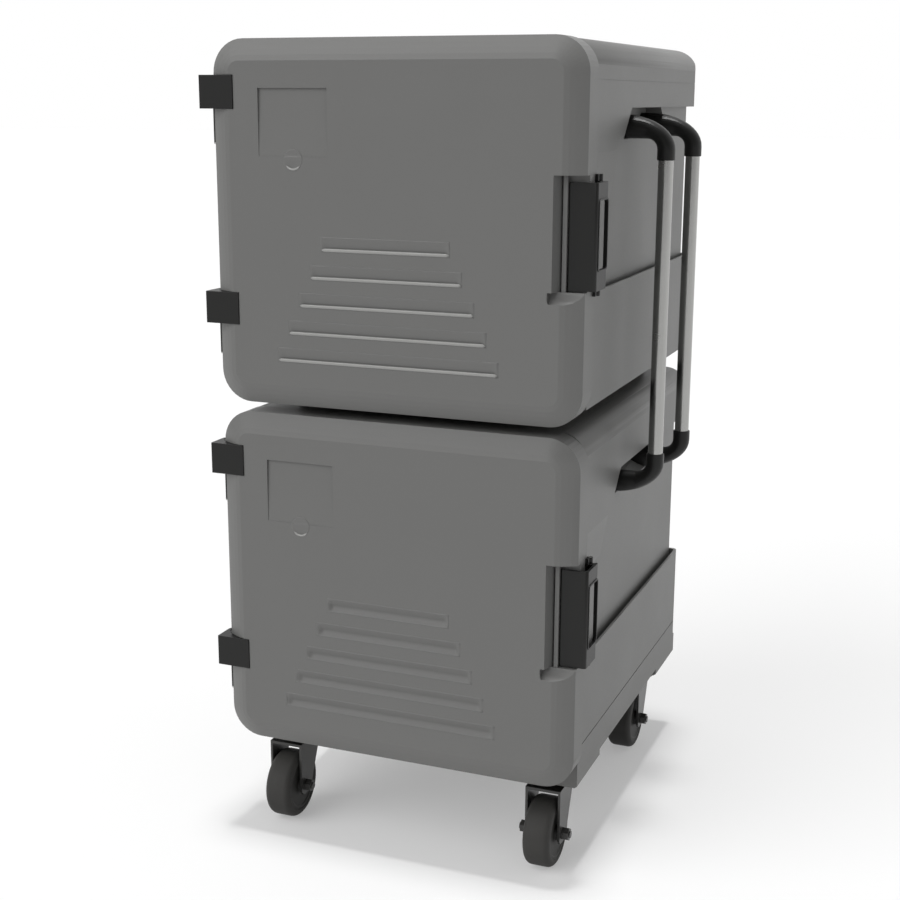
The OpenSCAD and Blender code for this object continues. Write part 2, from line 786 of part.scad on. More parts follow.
// Rings as [middle x, middle z, angle past upright, half height, half width]
function elbow_straight(u) = let (x = grip_x + (bend_x - grip_x) * u, back = elbow_back(x))
    [x, (back - root_hh) / 2, 0, (back + root_hh) / 2, root_hw + (mouth_r - root_hw) * u * u];
function elbow_arc(q) = let (far = elbow_reach(q), m = (far + bend_in) / 2)
    [bend_x + m * sin(q), bend_z + m * cos(q), q, (far - bend_in) / 2, mouth_r];
elbow_spine = concat([for (k = [0:5]) elbow_straight(k / 5)], [for (q = [9:9:90]) elbow_arc(q)],
                     [[tube_x, -elbow_drop, 90, mouth_r, mouth_r]]);
function elbow_ring(r) = [for (k = [0:elbow_sides - 1]) let (a = 360 * k / elbow_sides)
    [r[0] + r[3] * cos(a) * sin(r[2]), r[4] * sin(a), r[1] + r[3] * cos(a) * cos(r[2])]];

module elbow_body() {
    m = elbow_sides;
    last = len(elbow_spine) - 1;
    points = [for (r = elbow_spine, p = elbow_ring(r)) p];
    faces = concat(
        [[for (k = [m - 1:-1:0]) k], [for (k = [0:m - 1]) last * m + k]],
        [for (i = [0:last - 1], k = [0:m - 1]) let (a = i * m + k, b = i * m + (k + 1) % m)
            [a, b, a + m]],
        [for (i = [0:last - 1], k = [0:m - 1]) let (a = i * m + k, b = i * m + (k + 1) % m)
            [b, b + m, a + m]]);
    polyhedron(points, faces);
}

module elbow(y, upper) {
    z = upper ? upper_z : lower_z;
    color(hard_black) difference() {
        translate([0, y, z + root_z]) mirror([0, 0, upper ? 0 : 1]) difference() {
            elbow_body();
            translate([tube_x, 0, -elbow_drop - 1]) cylinder(h = socket + 1, r = tube_d / 2 + 0.05);
        }
        // the pocket's sloping floor cuts off the root's lower edge
        translate([0, y, z + cap_z - grip_h]) along_y(-root_hw - 1, root_hw + 1)
            polygon([[grip_x - 1, -1], [wall_w + seat, -1], [wall_w + seat, seat],
                     [grip_x, grip_slope + 2 * seat], [grip_x - 1, grip_slope + 2 * seat]]);
    }
}

module handle_tube(y) {
    z0 = lower_z + root_z + elbow_drop - socket + seat;
    z1 = upper_z + root_z - elbow_drop + socket - seat;
    color([0.78, 0.78, 0.78]) translate([tube_x, y, z0]) difference() {
        cylinder(h = z1 - z0, r = tube_d / 2);
        translate([0, 0, -1]) cylinder(h = z1 - z0 + 2, r = tube_d / 2 - tube_t);
    }
}

// Base: rim round the lower cabinet, floor, corner pads for the casters, two ribs between
module caster_base() {
    z_floor = lower_z;
    z_top = caster_h + base_h;
    rib_z = caster_h + pad_h + 1;
    color(shell_grey) difference() {
        union() {
            difference() {
                union() {
                    translate([0, 0, caster_h + pad_h])
                        linear_extrude(height = z_top - rim_line - caster_h - pad_h)
                        plan(half_w, front_y, back_y, corner_r);
                    // shadow line between the rim and the skirt above it
                    translate([0, 0, caster_h + pad_h]) linear_extrude(height = z_top - caster_h - pad_h)
                        plan(half_w - rim_line, front_y + rim_line, back_y - rim_line, corner_r);
                }
                translate([0, 0, z_floor]) linear_extrude(height = z_top)
                    plan(half_w - base_t, front_y + base_t, back_y - base_t, corner_r);
                translate([0, 0, caster_h + pad_h - 1])
                    linear_extrude(height = z_floor - floor_t - caster_h - pad_h + 1)
                    plan(half_w - base_t, front_y + base_t, back_y - base_t, corner_r);
            }
            for (x = swivel_xs, y = swivel_ys) pad(x, y);
            for (x = [-rib_x, rib_x]) translate([x - rib_t / 2, front_y + 1, rib_z])
                cube([rib_t, cab_d - 2, z_floor - 1 - rib_z]);
        }
        for (x = swivel_xs, y = swivel_ys) bolt_places(x, y)
            translate([0, 0, caster_h - 1]) cylinder(h = bolt_reach + 4, r = bolt_r + 0.4);
    }
}

// Corner pad under the base: flush with the rim outside, its lower edges chamfered
module pad(x, y) {
    s = x > 0 ? 1 : -1;
    front = y < mid_y;
    x0 = s * (abs(x) - plate_x / 2 - pad_side);
    x1 = s * (half_w - 0.1);
    y0 = front ? front_y + 0.1 : y - plate_y / 2 - pad_end;
    y1 = front ? y + plate_y / 2 + pad_end : back_y - 0.1;
    translate([0, 0, caster_h]) hull() {
        translate([min(x0, x1) + pad_chamfer, y0 + pad_chamfer, 0])
            cube([abs(x1 - x0) - 2 * pad_chamfer, y1 - y0 - 2 * pad_chamfer, 1]);
        translate([min(x0, x1), y0, pad_chamfer])
            cube([abs(x1 - x0), y1 - y0, lower_z - caster_h - pad_chamfer - 1]);
    }
}

module bolt_places(x, y) {
    for (dx = [-1, 1], dy = [-1, 1])
        translate([x + dx * (plate_x / 2 - bolt_in), y + dy * (plate_y / 2 - bolt_in), 0]) children();
}

// Caster plate: bolted plate, upper race cup and king pin with its riveted head
module caster_plate(x, y) {
    king_r = king_d / 2;
    cup_z = race_z + race_t + race_clear;
    color([0.2, 0.2, 0.2]) {
        difference() {
            translate([x, y, plate_z]) linear_extrude(height = plate_t)
                rounded(-plate_x / 2, -plate_y / 2, plate_x / 2, plate_y / 2, plate_r);
            bolt_places(x, y) translate([0, 0, plate_z - 1])
                cylinder(h = plate_t + 2, r = bolt_r + 0.4);
        }
        translate([x, y, 0]) rotate_extrude()
            polygon([[0, plate_z + 1], [0, crown_z - 5], [king_r + king_head - 1, crown_z - 5],
                     [king_r + king_head, crown_z - 4], [king_r + king_head, crown_z - seat],
                     [king_r, crown_z - seat], [king_r, cup_z], [race_r, cup_z],
                     [race_r + 2, plate_z - 1.5], [race_r + 2, plate_z + 1]]);
        bolt_places(x, y) translate([0, 0, plate_z - bolt_head]) {
            cylinder(h = bolt_head, r = bolt_head_r, $fn = 6);
            cylinder(h = bolt_head + plate_t + bolt_reach, r = bolt_r);
        }
    }
}

// Swivel fork: round crown with the lower race, two pressed legs, axle bolt and nuts
module caster_fork(x, y) {
    ay = -trail;
    az = wheel_r;
    leg_out = leg_in + leg_t;
    crown_r = leg_out + crown_out;
    color([0.2, 0.2, 0.2]) translate([x, y, 0]) difference() {
        union() {
            rotate_extrude() polygon([[0, crown_z], [crown_r - 1, crown_z], [crown_r, crown_z + 1],
                [crown_r, race_z - 1], [crown_r - 1, race_z], [race_r - 2, race_z],
                [race_r - 4, race_z + race_t], [0, race_z + race_t]]);
            translate([-leg_out, ay - leg_front, crown_z])
                cube([2 * leg_out, leg_w - leg_front, crown_t]);
            for (s = [0, 1]) mirror([s, 0, 0]) along_x(leg_in, leg_out)
                polygon([[ay - leg_front, race_z - 1], [ay - leg_front, az - 6], [ay - 9, az - leg_h],
                         [ay + 9, az - leg_h], [ay + leg_front + 2, az - 4],
                         [ay - leg_front + leg_w, crown_z - 10], [ay - leg_front + leg_w, race_z - 1]]);
            translate([0, ay, az]) rotate([0, 90, 0]) {
                cylinder(h = 2 * (leg_out + nut_h + 2), r = axle_d / 2, center = true);
                for (s = [0, 1]) mirror([0, 0, s]) translate([0, 0, leg_out - eps])
                    cylinder(h = nut_h, r = nut_r, $fn = 6);
            }
        }
        translate([0, 0, crown_z - 2]) cylinder(h = crown_t + race_t + 4, r = king_d / 2 + 0.1);
    }
}

// Wheel hub: barrel on the axle, a nearly flush web and the rim that carries the tread
module wheel_hub(x, y) {
    a = axle_d / 2;
    r = wheel_r - 12;
    w = wheel_w / 2;
    half = [[a + 0.1, w + 2], [a + 6, w + 2], [a + 7, w - 2.5], [r - 5, w - 2.5], [r - 3.5, w - 1],
            [r, w - 1]];
    color([0.22, 0.22, 0.22]) translate([x, y - trail, wheel_r]) rotate([0, 90, 0]) rotate_extrude()
        polygon(concat(half, [for (k = [len(half) - 1:-1:0]) [half[k][0], -half[k][1]]]));
}

// Tread: round-shouldered tyre moulded on the hub's rim
module wheel_tread(x, y) {
    r = wheel_r;
    w = wheel_w / 2;
    e = 9;
    side = concat([[r - 12, w - 1], [r - 11, w - 0.2]],
                  [for (a = [0:15:90]) [r - e + e * sin(a), w - e + e * cos(a)]]);
    color([0.12, 0.12, 0.12]) translate([x, y - trail, wheel_r]) rotate([0, 90, 0])
        rotate_extrude($fn = 96)
        polygon(concat(side, [for (k = [len(side) - 1:-1:0]) [side[k][0], -side[k][1]]]));
}

place(lower_z) shell(true);  // lower_shell
place(lower_z) foam();  // lower_foam
place(lower_z) liner();  // lower_liner
place(lower_z) racks();  // lower_tray_racks
place(lower_z) door_shell();  // lower_door_shell
place(lower_z) door_foam();  // lower_door_foam
place(lower_z) door_liner();  // lower_door_liner
place(lower_z) door_gasket();  // lower_door_gasket
place(lower_z) hinge_block(1);  // lower_hinge_block_top
place(lower_z) hinge_block(0);  // lower_hinge_block_bottom
place(lower_z) hinge_bracket(1);  // lower_hinge_bracket_top
place(lower_z) hinge_bracket(0);  // lower_hinge_bracket_bottom
place(lower_z) hinge_pins();  // lower_hinge_pins
place(lower_z) latch_lever();  // lower_latch_lever
place(lower_z) latch_mount();  // lower_latch_mount
place(lower_z) latch_pin();  // lower_latch_pin
place(lower_z) latch_keeper();  // lower_latch_keeper
place(upper_z) shell(false);  // upper_shell
place(upper_z) foam();  // upper_foam
place(upper_z) liner();  // upper_liner
place(upper_z) racks();  // upper_tray_racks
place(upper_z) door_shell();  // upper_door_shell
place(upper_z) door_foam();  // upper_door_foam
place(upper_z) door_liner();  // upper_door_liner
place(upper_z) door_gasket();  // upper_door_gasket
place(upper_z) hinge_block(1);  // upper_hinge_block_top
place(upper_z) hinge_block(0);  // upper_hinge_block_bottom
place(upper_z) hinge_bracket(1);  // upper_hinge_bracket_top
place(upper_z) hinge_bracket(0);  // upper_hinge_bracket_bottom
place(upper_z) hinge_pins();  // upper_hinge_pins
place(upper_z) latch_lever();  // upper_latch_lever
place(upper_z) latch_mount();  // upper_latch_mount
place(upper_z) latch_pin();  // upper_latch_pin
place(upper_z) latch_keeper();  // upper_latch_keeper
place(lower_z + cab_h - nest_d) stacking_plinth();
place() handle_tube(tube_ys[0]);  // handle_tube_front
place() handle_tube(tube_ys[1]);  // handle_tube_rear
place() elbow(tube_ys[0], true);  // elbow_upper_front
place() elbow(tube_ys[1], true);  // elbow_upper_rear
place() elbow(tube_ys[0], false);  // elbow_lower_front
place() elbow(tube_ys[1], false);  // elbow_lower_rear
place() caster_base();
place() caster_plate(swivel_xs[0], swivel_ys[0]);  // caster_plate_fl
place() caster_fork(swivel_xs[0], swivel_ys[0]);  // caster_fork_fl
place() wheel_hub(swivel_xs[0], swivel_ys[0]);  // wheel_hub_fl
place() wheel_tread(swivel_xs[0], swivel_ys[0]);  // wheel_tread_fl
place() caster_plate(swivel_xs[1], swivel_ys[0]);  // caster_plate_fr
place() caster_fork(swivel_xs[1], swivel_ys[0]);  // caster_fork_fr
place() wheel_hub(swivel_xs[1], swivel_ys[0]);  // wheel_hub_fr
place() wheel_tread(swivel_xs[1], swivel_ys[0]);  // wheel_tread_fr
place() caster_plate(swivel_xs[0], swivel_ys[1]);  // caster_plate_rl
place() caster_fork(swivel_xs[0], swivel_ys[1]);  // caster_fork_rl
place() wheel_hub(swivel_xs[0], swivel_ys[1]);  // wheel_hub_rl
place() wheel_tread(swivel_xs[0], swivel_ys[1]);  // wheel_tread_rl
place() caster_plate(swivel_xs[1], swivel_ys[1]);  // caster_plate_rr
place() caster_fork(swivel_xs[1], swivel_ys[1]);  // caster_fork_rr
place() wheel_hub(swivel_xs[1], swivel_ys[1]);  // wheel_hub_rr
place() wheel_tread(swivel_xs[1], swivel_ys[1]);  // wheel_tread_rr
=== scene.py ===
"""Finishes for the enclosed meal tray cart.

Materials, door trim, screw heads, handle beads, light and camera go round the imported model."""
import math

import bpy
import numpy as np
from mathutils import Matrix, Vector


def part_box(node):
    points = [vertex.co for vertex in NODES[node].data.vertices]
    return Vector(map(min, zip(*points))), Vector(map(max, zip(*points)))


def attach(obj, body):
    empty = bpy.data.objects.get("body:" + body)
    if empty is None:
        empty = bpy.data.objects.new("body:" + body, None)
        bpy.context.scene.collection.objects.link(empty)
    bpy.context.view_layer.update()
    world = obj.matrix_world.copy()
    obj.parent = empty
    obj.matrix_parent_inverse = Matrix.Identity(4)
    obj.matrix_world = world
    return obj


bl_info = {
    "name": "Meal Tray Cart",
    "version": (1, 0, 0),
    "blender": (4, 5, 0),
    "location": "View3D > Sidebar > Tray Cart",
    "description": "Dresses the meal tray cart's parts and sets up its studio",
    "category": "Object",
}

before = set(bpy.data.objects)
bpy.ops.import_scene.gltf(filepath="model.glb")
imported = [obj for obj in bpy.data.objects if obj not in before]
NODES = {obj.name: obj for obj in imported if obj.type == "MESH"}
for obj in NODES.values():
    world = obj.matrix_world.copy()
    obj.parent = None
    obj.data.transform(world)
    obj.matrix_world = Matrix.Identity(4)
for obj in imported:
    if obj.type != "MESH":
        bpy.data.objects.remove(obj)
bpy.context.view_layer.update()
LEVELS = ("lower", "upper")
CORNERS = ("fl", "fr", "rl", "rr")

# ---------------------------------------------------------------- fixed values

WHITE = (1.0, 1.0, 1.0, 1.0)
MERGE = 1e-6                        # points closer than this, in metres, are one
BEVEL_ANGLE = math.radians(38.0)    # corners that turn by more than this are softened
BEVEL_STEPS = 2

# width of the softened corners of each kind of piece, in metres
EDGES = {
    "shell": 0.0012, "stacking_plinth": 0.0015, "liner": 0.0008, "tray_racks": 0.0008,
    "door_shell": 0.0010, "door_liner": 0.0008, "door_gasket": 0.0006,
    "hinge_block": 0.0008, "hinge_bracket": 0.0008, "hinge_pins": 0.0004,
    "latch_lever": 0.0006, "latch_mount": 0.0006, "latch_keeper": 0.0006, "latch_pin": 0.0003,
    "caster_base": 0.0012, "caster_plate": 0.0004, "caster_fork": 0.0005, "wheel_hub": 0.0005,
}

# patterns, each with its waves per metre and its detail
CLOUD, SPECK, WAVE, SMUDGE = (7.0, 4.0), (420.0, 2.0), (9.0, 1.0), (14.0, 3.0)
GRAIN_DETAIL = 2.0
STREAK_DETAIL = 3.0
STREAK_SCALE = (900.0, 900.0, 9.0)  # waves per metre across the streaks, and along them in Z
STREAK_TINT, STREAK_FLOOR = 0.18, 0.9   # how far streaks lighten a metal's colour, from what share
SMUDGE_ROUGHNESS = 0.12             # how far smudges roughen a metal
CLOUD_ROUGHNESS = 0.10              # how far clouds roughen a plastic
DUST_TOP, DUST_FULL = 0.22, 0.10    # heights at which dust begins and is thickest, in metres
DUST = (0.30, 0.29, 0.27, 1)
FOAM = (0.80, 0.74, 0.52)

# points on the grids of the added surfaces
ARC_POINTS = 9                      # across a half-round bead
ROUND_POINTS = 48                   # round a thumb notch or a mouth
GROOVE_POINTS = 81                  # along a groove
LIP_ROWS, SLOPE_ROWS = 10, 8        # up a groove's lip, and up the slope above it
CRESCENT_POINTS = 41                # along a crescent
BOWL_RINGS = 14                     # from a thumb notch's rim to its middle
SCREW_POINTS = 32                   # round a screw head

SLOPE_START = 1.1                   # where the slope's rows start, as a share of the lip's height
THIN_END = 1e-3                     # share of a bead's width left at its pointed ends
BEAD_TAPER = 2.0                    # how many times as fast as its groove a bead runs out
CRESCENT_TAPER = 2.5                # how steeply a crescent swells from its ends
STRAIGHT_DOWN = math.radians(270.0)
BOWL_POWER = 3
POCKET_BLEND = 4                    # height, in films, over which a notch joins the pocket's floor

# a pan head's rings from its foot to its middle, as shares of its radius and of its height
SCREW_RINGS = (1.0, 1.0, 0.94, 0.8, 0.62, 0.48, 0.36, 0.24, 0.12, 0.0)
SCREW_DOME = (0.0, 0.5, 0.74, 0.88, 0.96, 1.0, 1.0, 1.0, 1.0, 1.0)
RECESS_ARMS = 4
ARM_WIDTH, ARM_FADE = 0.2, 0.6      # how wide the cross's arms are, and how soft their sides
REACH, REACH_FADE = 0.62, 0.12      # where the arms end
CORE, CORE_FADE = 0.26, 0.1         # where they join
RECESS_DEPTH = 0.7                  # as a share of the head's height

OVERHEAD_WAY = (0.0, 0.0, -1.0)
KEY_WAY = (0.55, 0.75, -0.62)
FLOOR_HALF = 40.0                   # half the floor's width, in metres
FLOOR_GREY = (0.60, 0.60, 0.60, 1.0)
GLOSS_DIM, GLOSS_FROM, GLOSS_TO = 0.10, -0.75, 0.35     # least light, and the Y range of its rise
SENSOR = 36.0                       # width of the camera's sensor, in millimetres


# ---------------------------------------------------------------- sizes and colours

class StudioSettings(bpy.types.PropertyGroup):
    """Camera and lamps."""
    focal: bpy.props.FloatProperty(
        name="Focal length", description="Lens that gives the photographed perspective",
        default=59.13, subtype="DISTANCE_CAMERA")
    eye: bpy.props.FloatVectorProperty(
        name="Eye point", description="Where the camera stands", size=3,
        default=(0.7731, -2.08035, 1.068), subtype="TRANSLATION")
    yaw: bpy.props.FloatProperty(
        name="Yaw", description="Turn of the view to the left of straight ahead",
        default=math.radians(21.738), subtype="ANGLE")
    pitch: bpy.props.FloatProperty(
        name="Pitch", description="Tilt of the view below level",
        default=math.radians(13.396), subtype="ANGLE")
    roll: bpy.props.FloatProperty(
        name="Roll", description="Roll of the view about its own axis",
        default=math.radians(0.198), subtype="ANGLE")
    ambient: bpy.props.FloatProperty(
        name="Ambient", description="Strength of the even light from all round", default=0.40)
    overhead: bpy.props.FloatProperty(
        name="Overhead lamp", description="Strength of the lamp straight above the cart", default=1.8)
    overhead_spread: bpy.props.FloatProperty(
        name="Overhead spread", description="Width of the overhead lamp, which softens the shadow",
        default=math.radians(7.0), subtype="ANGLE")
    key: bpy.props.FloatProperty(
        name="Key lamp", description="Strength of the soft lamp in front, on the hinge side", default=1.38)
    key_spread: bpy.props.FloatProperty(
        name="Key spread", description="Width of the key lamp", default=math.radians(50.0),
        subtype="ANGLE")
    floor_glow: bpy.props.FloatProperty(
        name="Floor glow", description="Share of white that the floor adds to its shading", default=0.30)


class PlasticSettings(bpy.types.PropertyGroup):
    """Moulded plastics and rubber."""
    grey: bpy.props.FloatVectorProperty(
        name="Casing grey", description="Colour of casings, doors and base", size=3,
        default=(0.160, 0.160, 0.156), subtype="COLOR")
    # painted highlight: the raised groove lips and notch crescents get a grey paler than the casing in
    # place of the highlight they catch
    edge: bpy.props.FloatVectorProperty(
        name="Painted highlight grey", description="Colour of raised edges, painted paler than the casing as a highlight", size=3,
        default=(0.32, 0.32, 0.31), subtype="COLOR")
    liner: bpy.props.FloatVectorProperty(
        name="Liner grey", description="Colour of liners, racks and inner panels", size=3,
        default=(0.30, 0.30, 0.29), subtype="COLOR")
    black: bpy.props.FloatVectorProperty(
        name="Hardware black", description="Colour of hinges, latches and elbows", size=3,
        default=(0.010, 0.010, 0.0095), subtype="COLOR")
    rubber: bpy.props.FloatVectorProperty(
        name="Rubber", description="Colour of treads and seals", size=3,
        default=(0.010, 0.010, 0.010), subtype="COLOR")
    grain: bpy.props.FloatProperty(
        name="Grain size", description="Width of one grain of the moulded texture",
        default=0.0012, unit="LENGTH")


class MetalSettings(bpy.types.PropertyGroup):
    """Tubes, pins and screws."""
    aluminium: bpy.props.FloatVectorProperty(
        name="Aluminium", description="Colour of the handle tubes", size=3,
        default=(0.37, 0.37, 0.36), subtype="COLOR")
    steel: bpy.props.FloatVectorProperty(
        name="Steel", description="Colour of pins and screws", size=3,
        default=(0.50, 0.50, 0.49), subtype="COLOR")
    screw_radius: bpy.props.FloatProperty(
        name="Screw radius", description="Radius of a screw head", default=0.0042, unit="LENGTH")
    screw_height: bpy.props.FloatProperty(
        name="Screw height", description="Height of a screw head", default=0.0016, unit="LENGTH")


class TrimSettings(bpy.types.PropertyGroup):
    """Groove lips, thumb notches and beads."""
    groove_count: bpy.props.IntProperty(
        name="Grooves", description="Number of grooves in a door's face", default=5)
    groove_first: bpy.props.FloatProperty(
        name="First groove", description="Height of the lowest groove above the door's lower edge",
        default=0.063, unit="LENGTH")
    groove_pitch: bpy.props.FloatProperty(
        name="Groove pitch", description="Distance from one groove to the next", default=0.038,
        unit="LENGTH")
    groove_height: bpy.props.FloatProperty(
        name="Groove height", description="Height of one groove", default=0.018, unit="LENGTH")
    groove_half: bpy.props.FloatProperty(
        name="Half length", description="Half the length of the lowest groove", default=0.159,
        unit="LENGTH")
    groove_step: bpy.props.FloatProperty(
        name="Half length step", description="How much shorter each groove is than the one below",
        default=0.017, unit="LENGTH")
    groove_shift: bpy.props.FloatProperty(
        name="Groove shift", description="How far the grooves lie from the door's middle",
        default=-0.007, unit="LENGTH")
    lip_height: bpy.props.FloatProperty(
        name="Lip height", description="Height of the rounded lip at a groove's lower edge",
        default=0.0046, unit="LENGTH")
    lip_depth: bpy.props.FloatProperty(
        name="Groove depth", description="Depth of a groove behind its lip", default=0.0022,
        unit="LENGTH")
    wave_height: bpy.props.FloatProperty(
        name="Wave height", description="Height of the soft lip in the lower door's grooves",
        default=0.0085, unit="LENGTH")
    wave_depth: bpy.props.FloatProperty(
        name="Wave depth", description="Depth of the lower door's grooves", default=0.0042,
        unit="LENGTH")
    lip_fade: bpy.props.FloatProperty(
        name="Lip fade", description="Length over which a groove runs out at each end", default=0.007,
        unit="LENGTH")
    notch_radius: bpy.props.FloatProperty(
        name="Notch radius", description="Radius of the thumb notch under the card pocket",
        default=0.0127, unit="LENGTH")
    notch_depth: bpy.props.FloatProperty(
        name="Notch depth", description="Depth of the thumb notch", default=0.0014, unit="LENGTH")
    lip_bead: bpy.props.FloatProperty(
        name="Lip bead", description="Half the width of the bead along a groove's lower edge",
        default=0.0019, unit="LENGTH")
    lip_proud: bpy.props.FloatProperty(
        name="Bead height", description="How far a bead stands out, without its wall", default=0.0009,
        unit="LENGTH")
    crescent_bead: bpy.props.FloatProperty(
        name="Crescent bead", description="Half the width of the bead under a thumb notch",
        default=0.0011, unit="LENGTH")
    crescent_turn: bpy.props.FloatProperty(
        name="Crescent turn", description="Half the angle that the crescent covers",
        default=math.radians(52.0), subtype="ANGLE")
    pocket_foot: bpy.props.FloatProperty(
        name="Pocket foot", description="Depth of the card pocket at its lower edge", default=0.0005,
        unit="LENGTH")
    overlap: bpy.props.FloatProperty(
        name="Overlap", description="How far a lining laps onto the face round it", default=0.0012,
        unit="LENGTH")
    film: bpy.props.FloatProperty(
        name="Film", description="How far a lining's rim stands off the face", default=0.00006,
        unit="LENGTH")
    wall: bpy.props.FloatProperty(
        name="Lining wall", description="Thickness of a lining", default=0.0003, unit="LENGTH")


def studio():
    """The camera's and lamps' settings."""
    return bpy.context.scene.cart_studio


def trim():
    """The door trim's settings."""
    return bpy.context.scene.cart_trim


def plastic():
    """The plastics' and rubbers' settings."""
    return bpy.context.scene.cart_plastic


def metal():
    """The metals' and screws' settings."""
    return bpy.context.scene.cart_metal


# ---------------------------------------------------------------- node helpers

def new_node(tree, kind, **values):
    """A node of that kind with its settings or its inputs set by name."""
    made = tree.nodes.new(kind)
    for key, value in values.items():
        socket = key.replace("_", " ")
        if hasattr(made, key):
            setattr(made, key, value)
        else:
            made.inputs[socket].default_value = value
    return made


def wire(tree, start, out_name, end, in_name):
    """Link an output to an input, each by name or number."""
    tree.links.new(start.outputs[out_name], end.inputs[in_name])


def maths(tree, operation, *terms, clamp=False):
    """A Math node whose terms are numbers or pairs of a node and its output."""
    made = new_node(tree, "ShaderNodeMath", operation=operation, use_clamp=clamp)
    for index, term in enumerate(terms):
        if isinstance(term, tuple):
            wire(tree, *term, made, index)
        else:
            made.inputs[index].default_value = term
    return made


def tint(tree, given, gain):
    """The colour given to a group, times a gain."""
    made = new_node(tree, "ShaderNodeVectorMath", operation="SCALE")
    wire(tree, given, "Colour", made, 0)
    wire(tree, gain, 0, made, "Scale")
    return made


def ramp(tree, low, high, least, **kind):
    """A Map Range node that rises from least, at low, to 1, at high."""
    made = new_node(tree, "ShaderNodeMapRange", **kind)
    for label, value in (("From Min", low), ("From Max", high), ("To Min", least), ("To Max", 1.0)):
        made.inputs[label].default_value = value
    return made


def noise(tree, source, scale, detail):
    """Noise on Object coordinates, at a scale in waves per metre."""
    made = new_node(tree, "ShaderNodeTexNoise", Scale=scale, Detail=detail)
    wire(tree, source, "Object", made, "Vector")
    return made


def group_tree(name, inputs):
    """A node group with named inputs that puts out a colour, a roughness and a height in metres.

    An input whose value is a tuple takes a colour, any other a number."""
    tree = bpy.data.node_groups.new(name, "ShaderNodeTree")
    for label, value in inputs.items():
        kind = "NodeSocketColor" if isinstance(value, tuple) else "NodeSocketFloat"
        socket = tree.interface.new_socket(label, in_out="INPUT", socket_type=kind)
        socket.default_value = value
    for label, kind in (("Colour", "NodeSocketColor"), ("Roughness", "NodeSocketFloat"),
                        ("Height", "NodeSocketFloat")):
        tree.interface.new_socket(label, in_out="OUTPUT", socket_type=kind)
    given, put = tree.nodes.new("NodeGroupInput"), tree.nodes.new("NodeGroupOutput")
    return tree, given, put, tree.nodes.new("ShaderNodeTexCoord")


def moulded_group():
    """Moulded plastic: fine grain, slow waves in the wall, mottled colour and a little dust low down."""
    tree, given, put, place = group_tree("Moulded finish", {
        "Colour": (0.2, 0.2, 0.2, 1), "Roughness": 0.4, "Mottle": 0.06, "Grains per metre": 800.0,
        "Grain": 0.5, "Waves": 0.5, "Dust": 0.0})
    cloud = noise(tree, place, *CLOUD)
    speck = noise(tree, place, *SPECK)
    wave = noise(tree, place, *WAVE)
    grain = noise(tree, place, 1.0, GRAIN_DETAIL)
    wire(tree, given, "Grains per metre", grain, "Scale")
    # colour = given colour times (1 + mottle * (cloud + speck - 1))
    both = maths(tree, "ADD", (cloud, "Fac"), (speck, "Fac"))
    centred = maths(tree, "SUBTRACT", (both, 0), 1.0)
    gain = maths(tree, "MULTIPLY_ADD", (centred, 0), (given, "Mottle"), 1.0)
    # dust settles towards the floor, broken up by the cloud
    split = tree.nodes.new("ShaderNodeSeparateXYZ")
    wire(tree, place, "Object", split, 0)
    low = ramp(tree, DUST_TOP, DUST_FULL, 0.0)
    wire(tree, split, "Z", low, 0)
    patchy = maths(tree, "MULTIPLY", (low, 0), (cloud, "Fac"))
    amount = maths(tree, "MULTIPLY", (patchy, 0), (given, "Dust"))
    dusty = new_node(tree, "ShaderNodeMix", data_type="RGBA")
    wire(tree, amount, 0, dusty, "Factor")
    wire(tree, tint(tree, given, gain), 0, dusty, 6)
    dusty.inputs[7].default_value = DUST
    wire(tree, dusty, 2, put, "Colour")
    # roughness follows the cloud and speck a little and rises with dust
    rough = maths(tree, "MULTIPLY_ADD", (centred, 0), CLOUD_ROUGHNESS, (given, "Roughness"))
    rougher = maths(tree, "ADD", (rough, 0), (amount, 0), clamp=True)
    wire(tree, rougher, 0, put, "Roughness")
    # height = grain of some hundredths of a millimetre on waves of some tenths
    fine = maths(tree, "MULTIPLY", (grain, "Fac"), (given, "Grain"))
    slow = maths(tree, "MULTIPLY", (wave, "Fac"), (given, "Waves"))
    height = maths(tree, "ADD", (fine, 0), (slow, 0))
    wire(tree, height, 0, put, "Height")


def drawn_group():
    """Drawn metal: fine streaks along Z in height and colour, and smudges in roughness."""
    tree, given, put, place = group_tree("Drawn finish", {
        "Colour": (0.6, 0.6, 0.6, 1), "Roughness": 0.3, "Streaks": 0.00002})
    stretch = new_node(tree, "ShaderNodeMapping")
    stretch.inputs["Scale"].default_value = STREAK_SCALE
    wire(tree, place, "Object", stretch, "Vector")
    streak = new_node(tree, "ShaderNodeTexNoise", Scale=1.0, Detail=STREAK_DETAIL)
    wire(tree, stretch, "Vector", streak, "Vector")
    smudge = noise(tree, place, *SMUDGE)
    height = maths(tree, "MULTIPLY", (streak, "Fac"), (given, "Streaks"))
    wire(tree, height, 0, put, "Height")
    mixed = maths(tree, "MULTIPLY_ADD", (smudge, "Fac"), SMUDGE_ROUGHNESS, (given, "Roughness"))
    wire(tree, mixed, 0, put, "Roughness")
    gain = maths(tree, "MULTIPLY_ADD", (streak, "Fac"), STREAK_TINT, STREAK_FLOOR)
    wire(tree, tint(tree, given, gain), 0, put, "Colour")


def colour(value):
    """A colour with full alpha."""
    return (*value, 1.0)


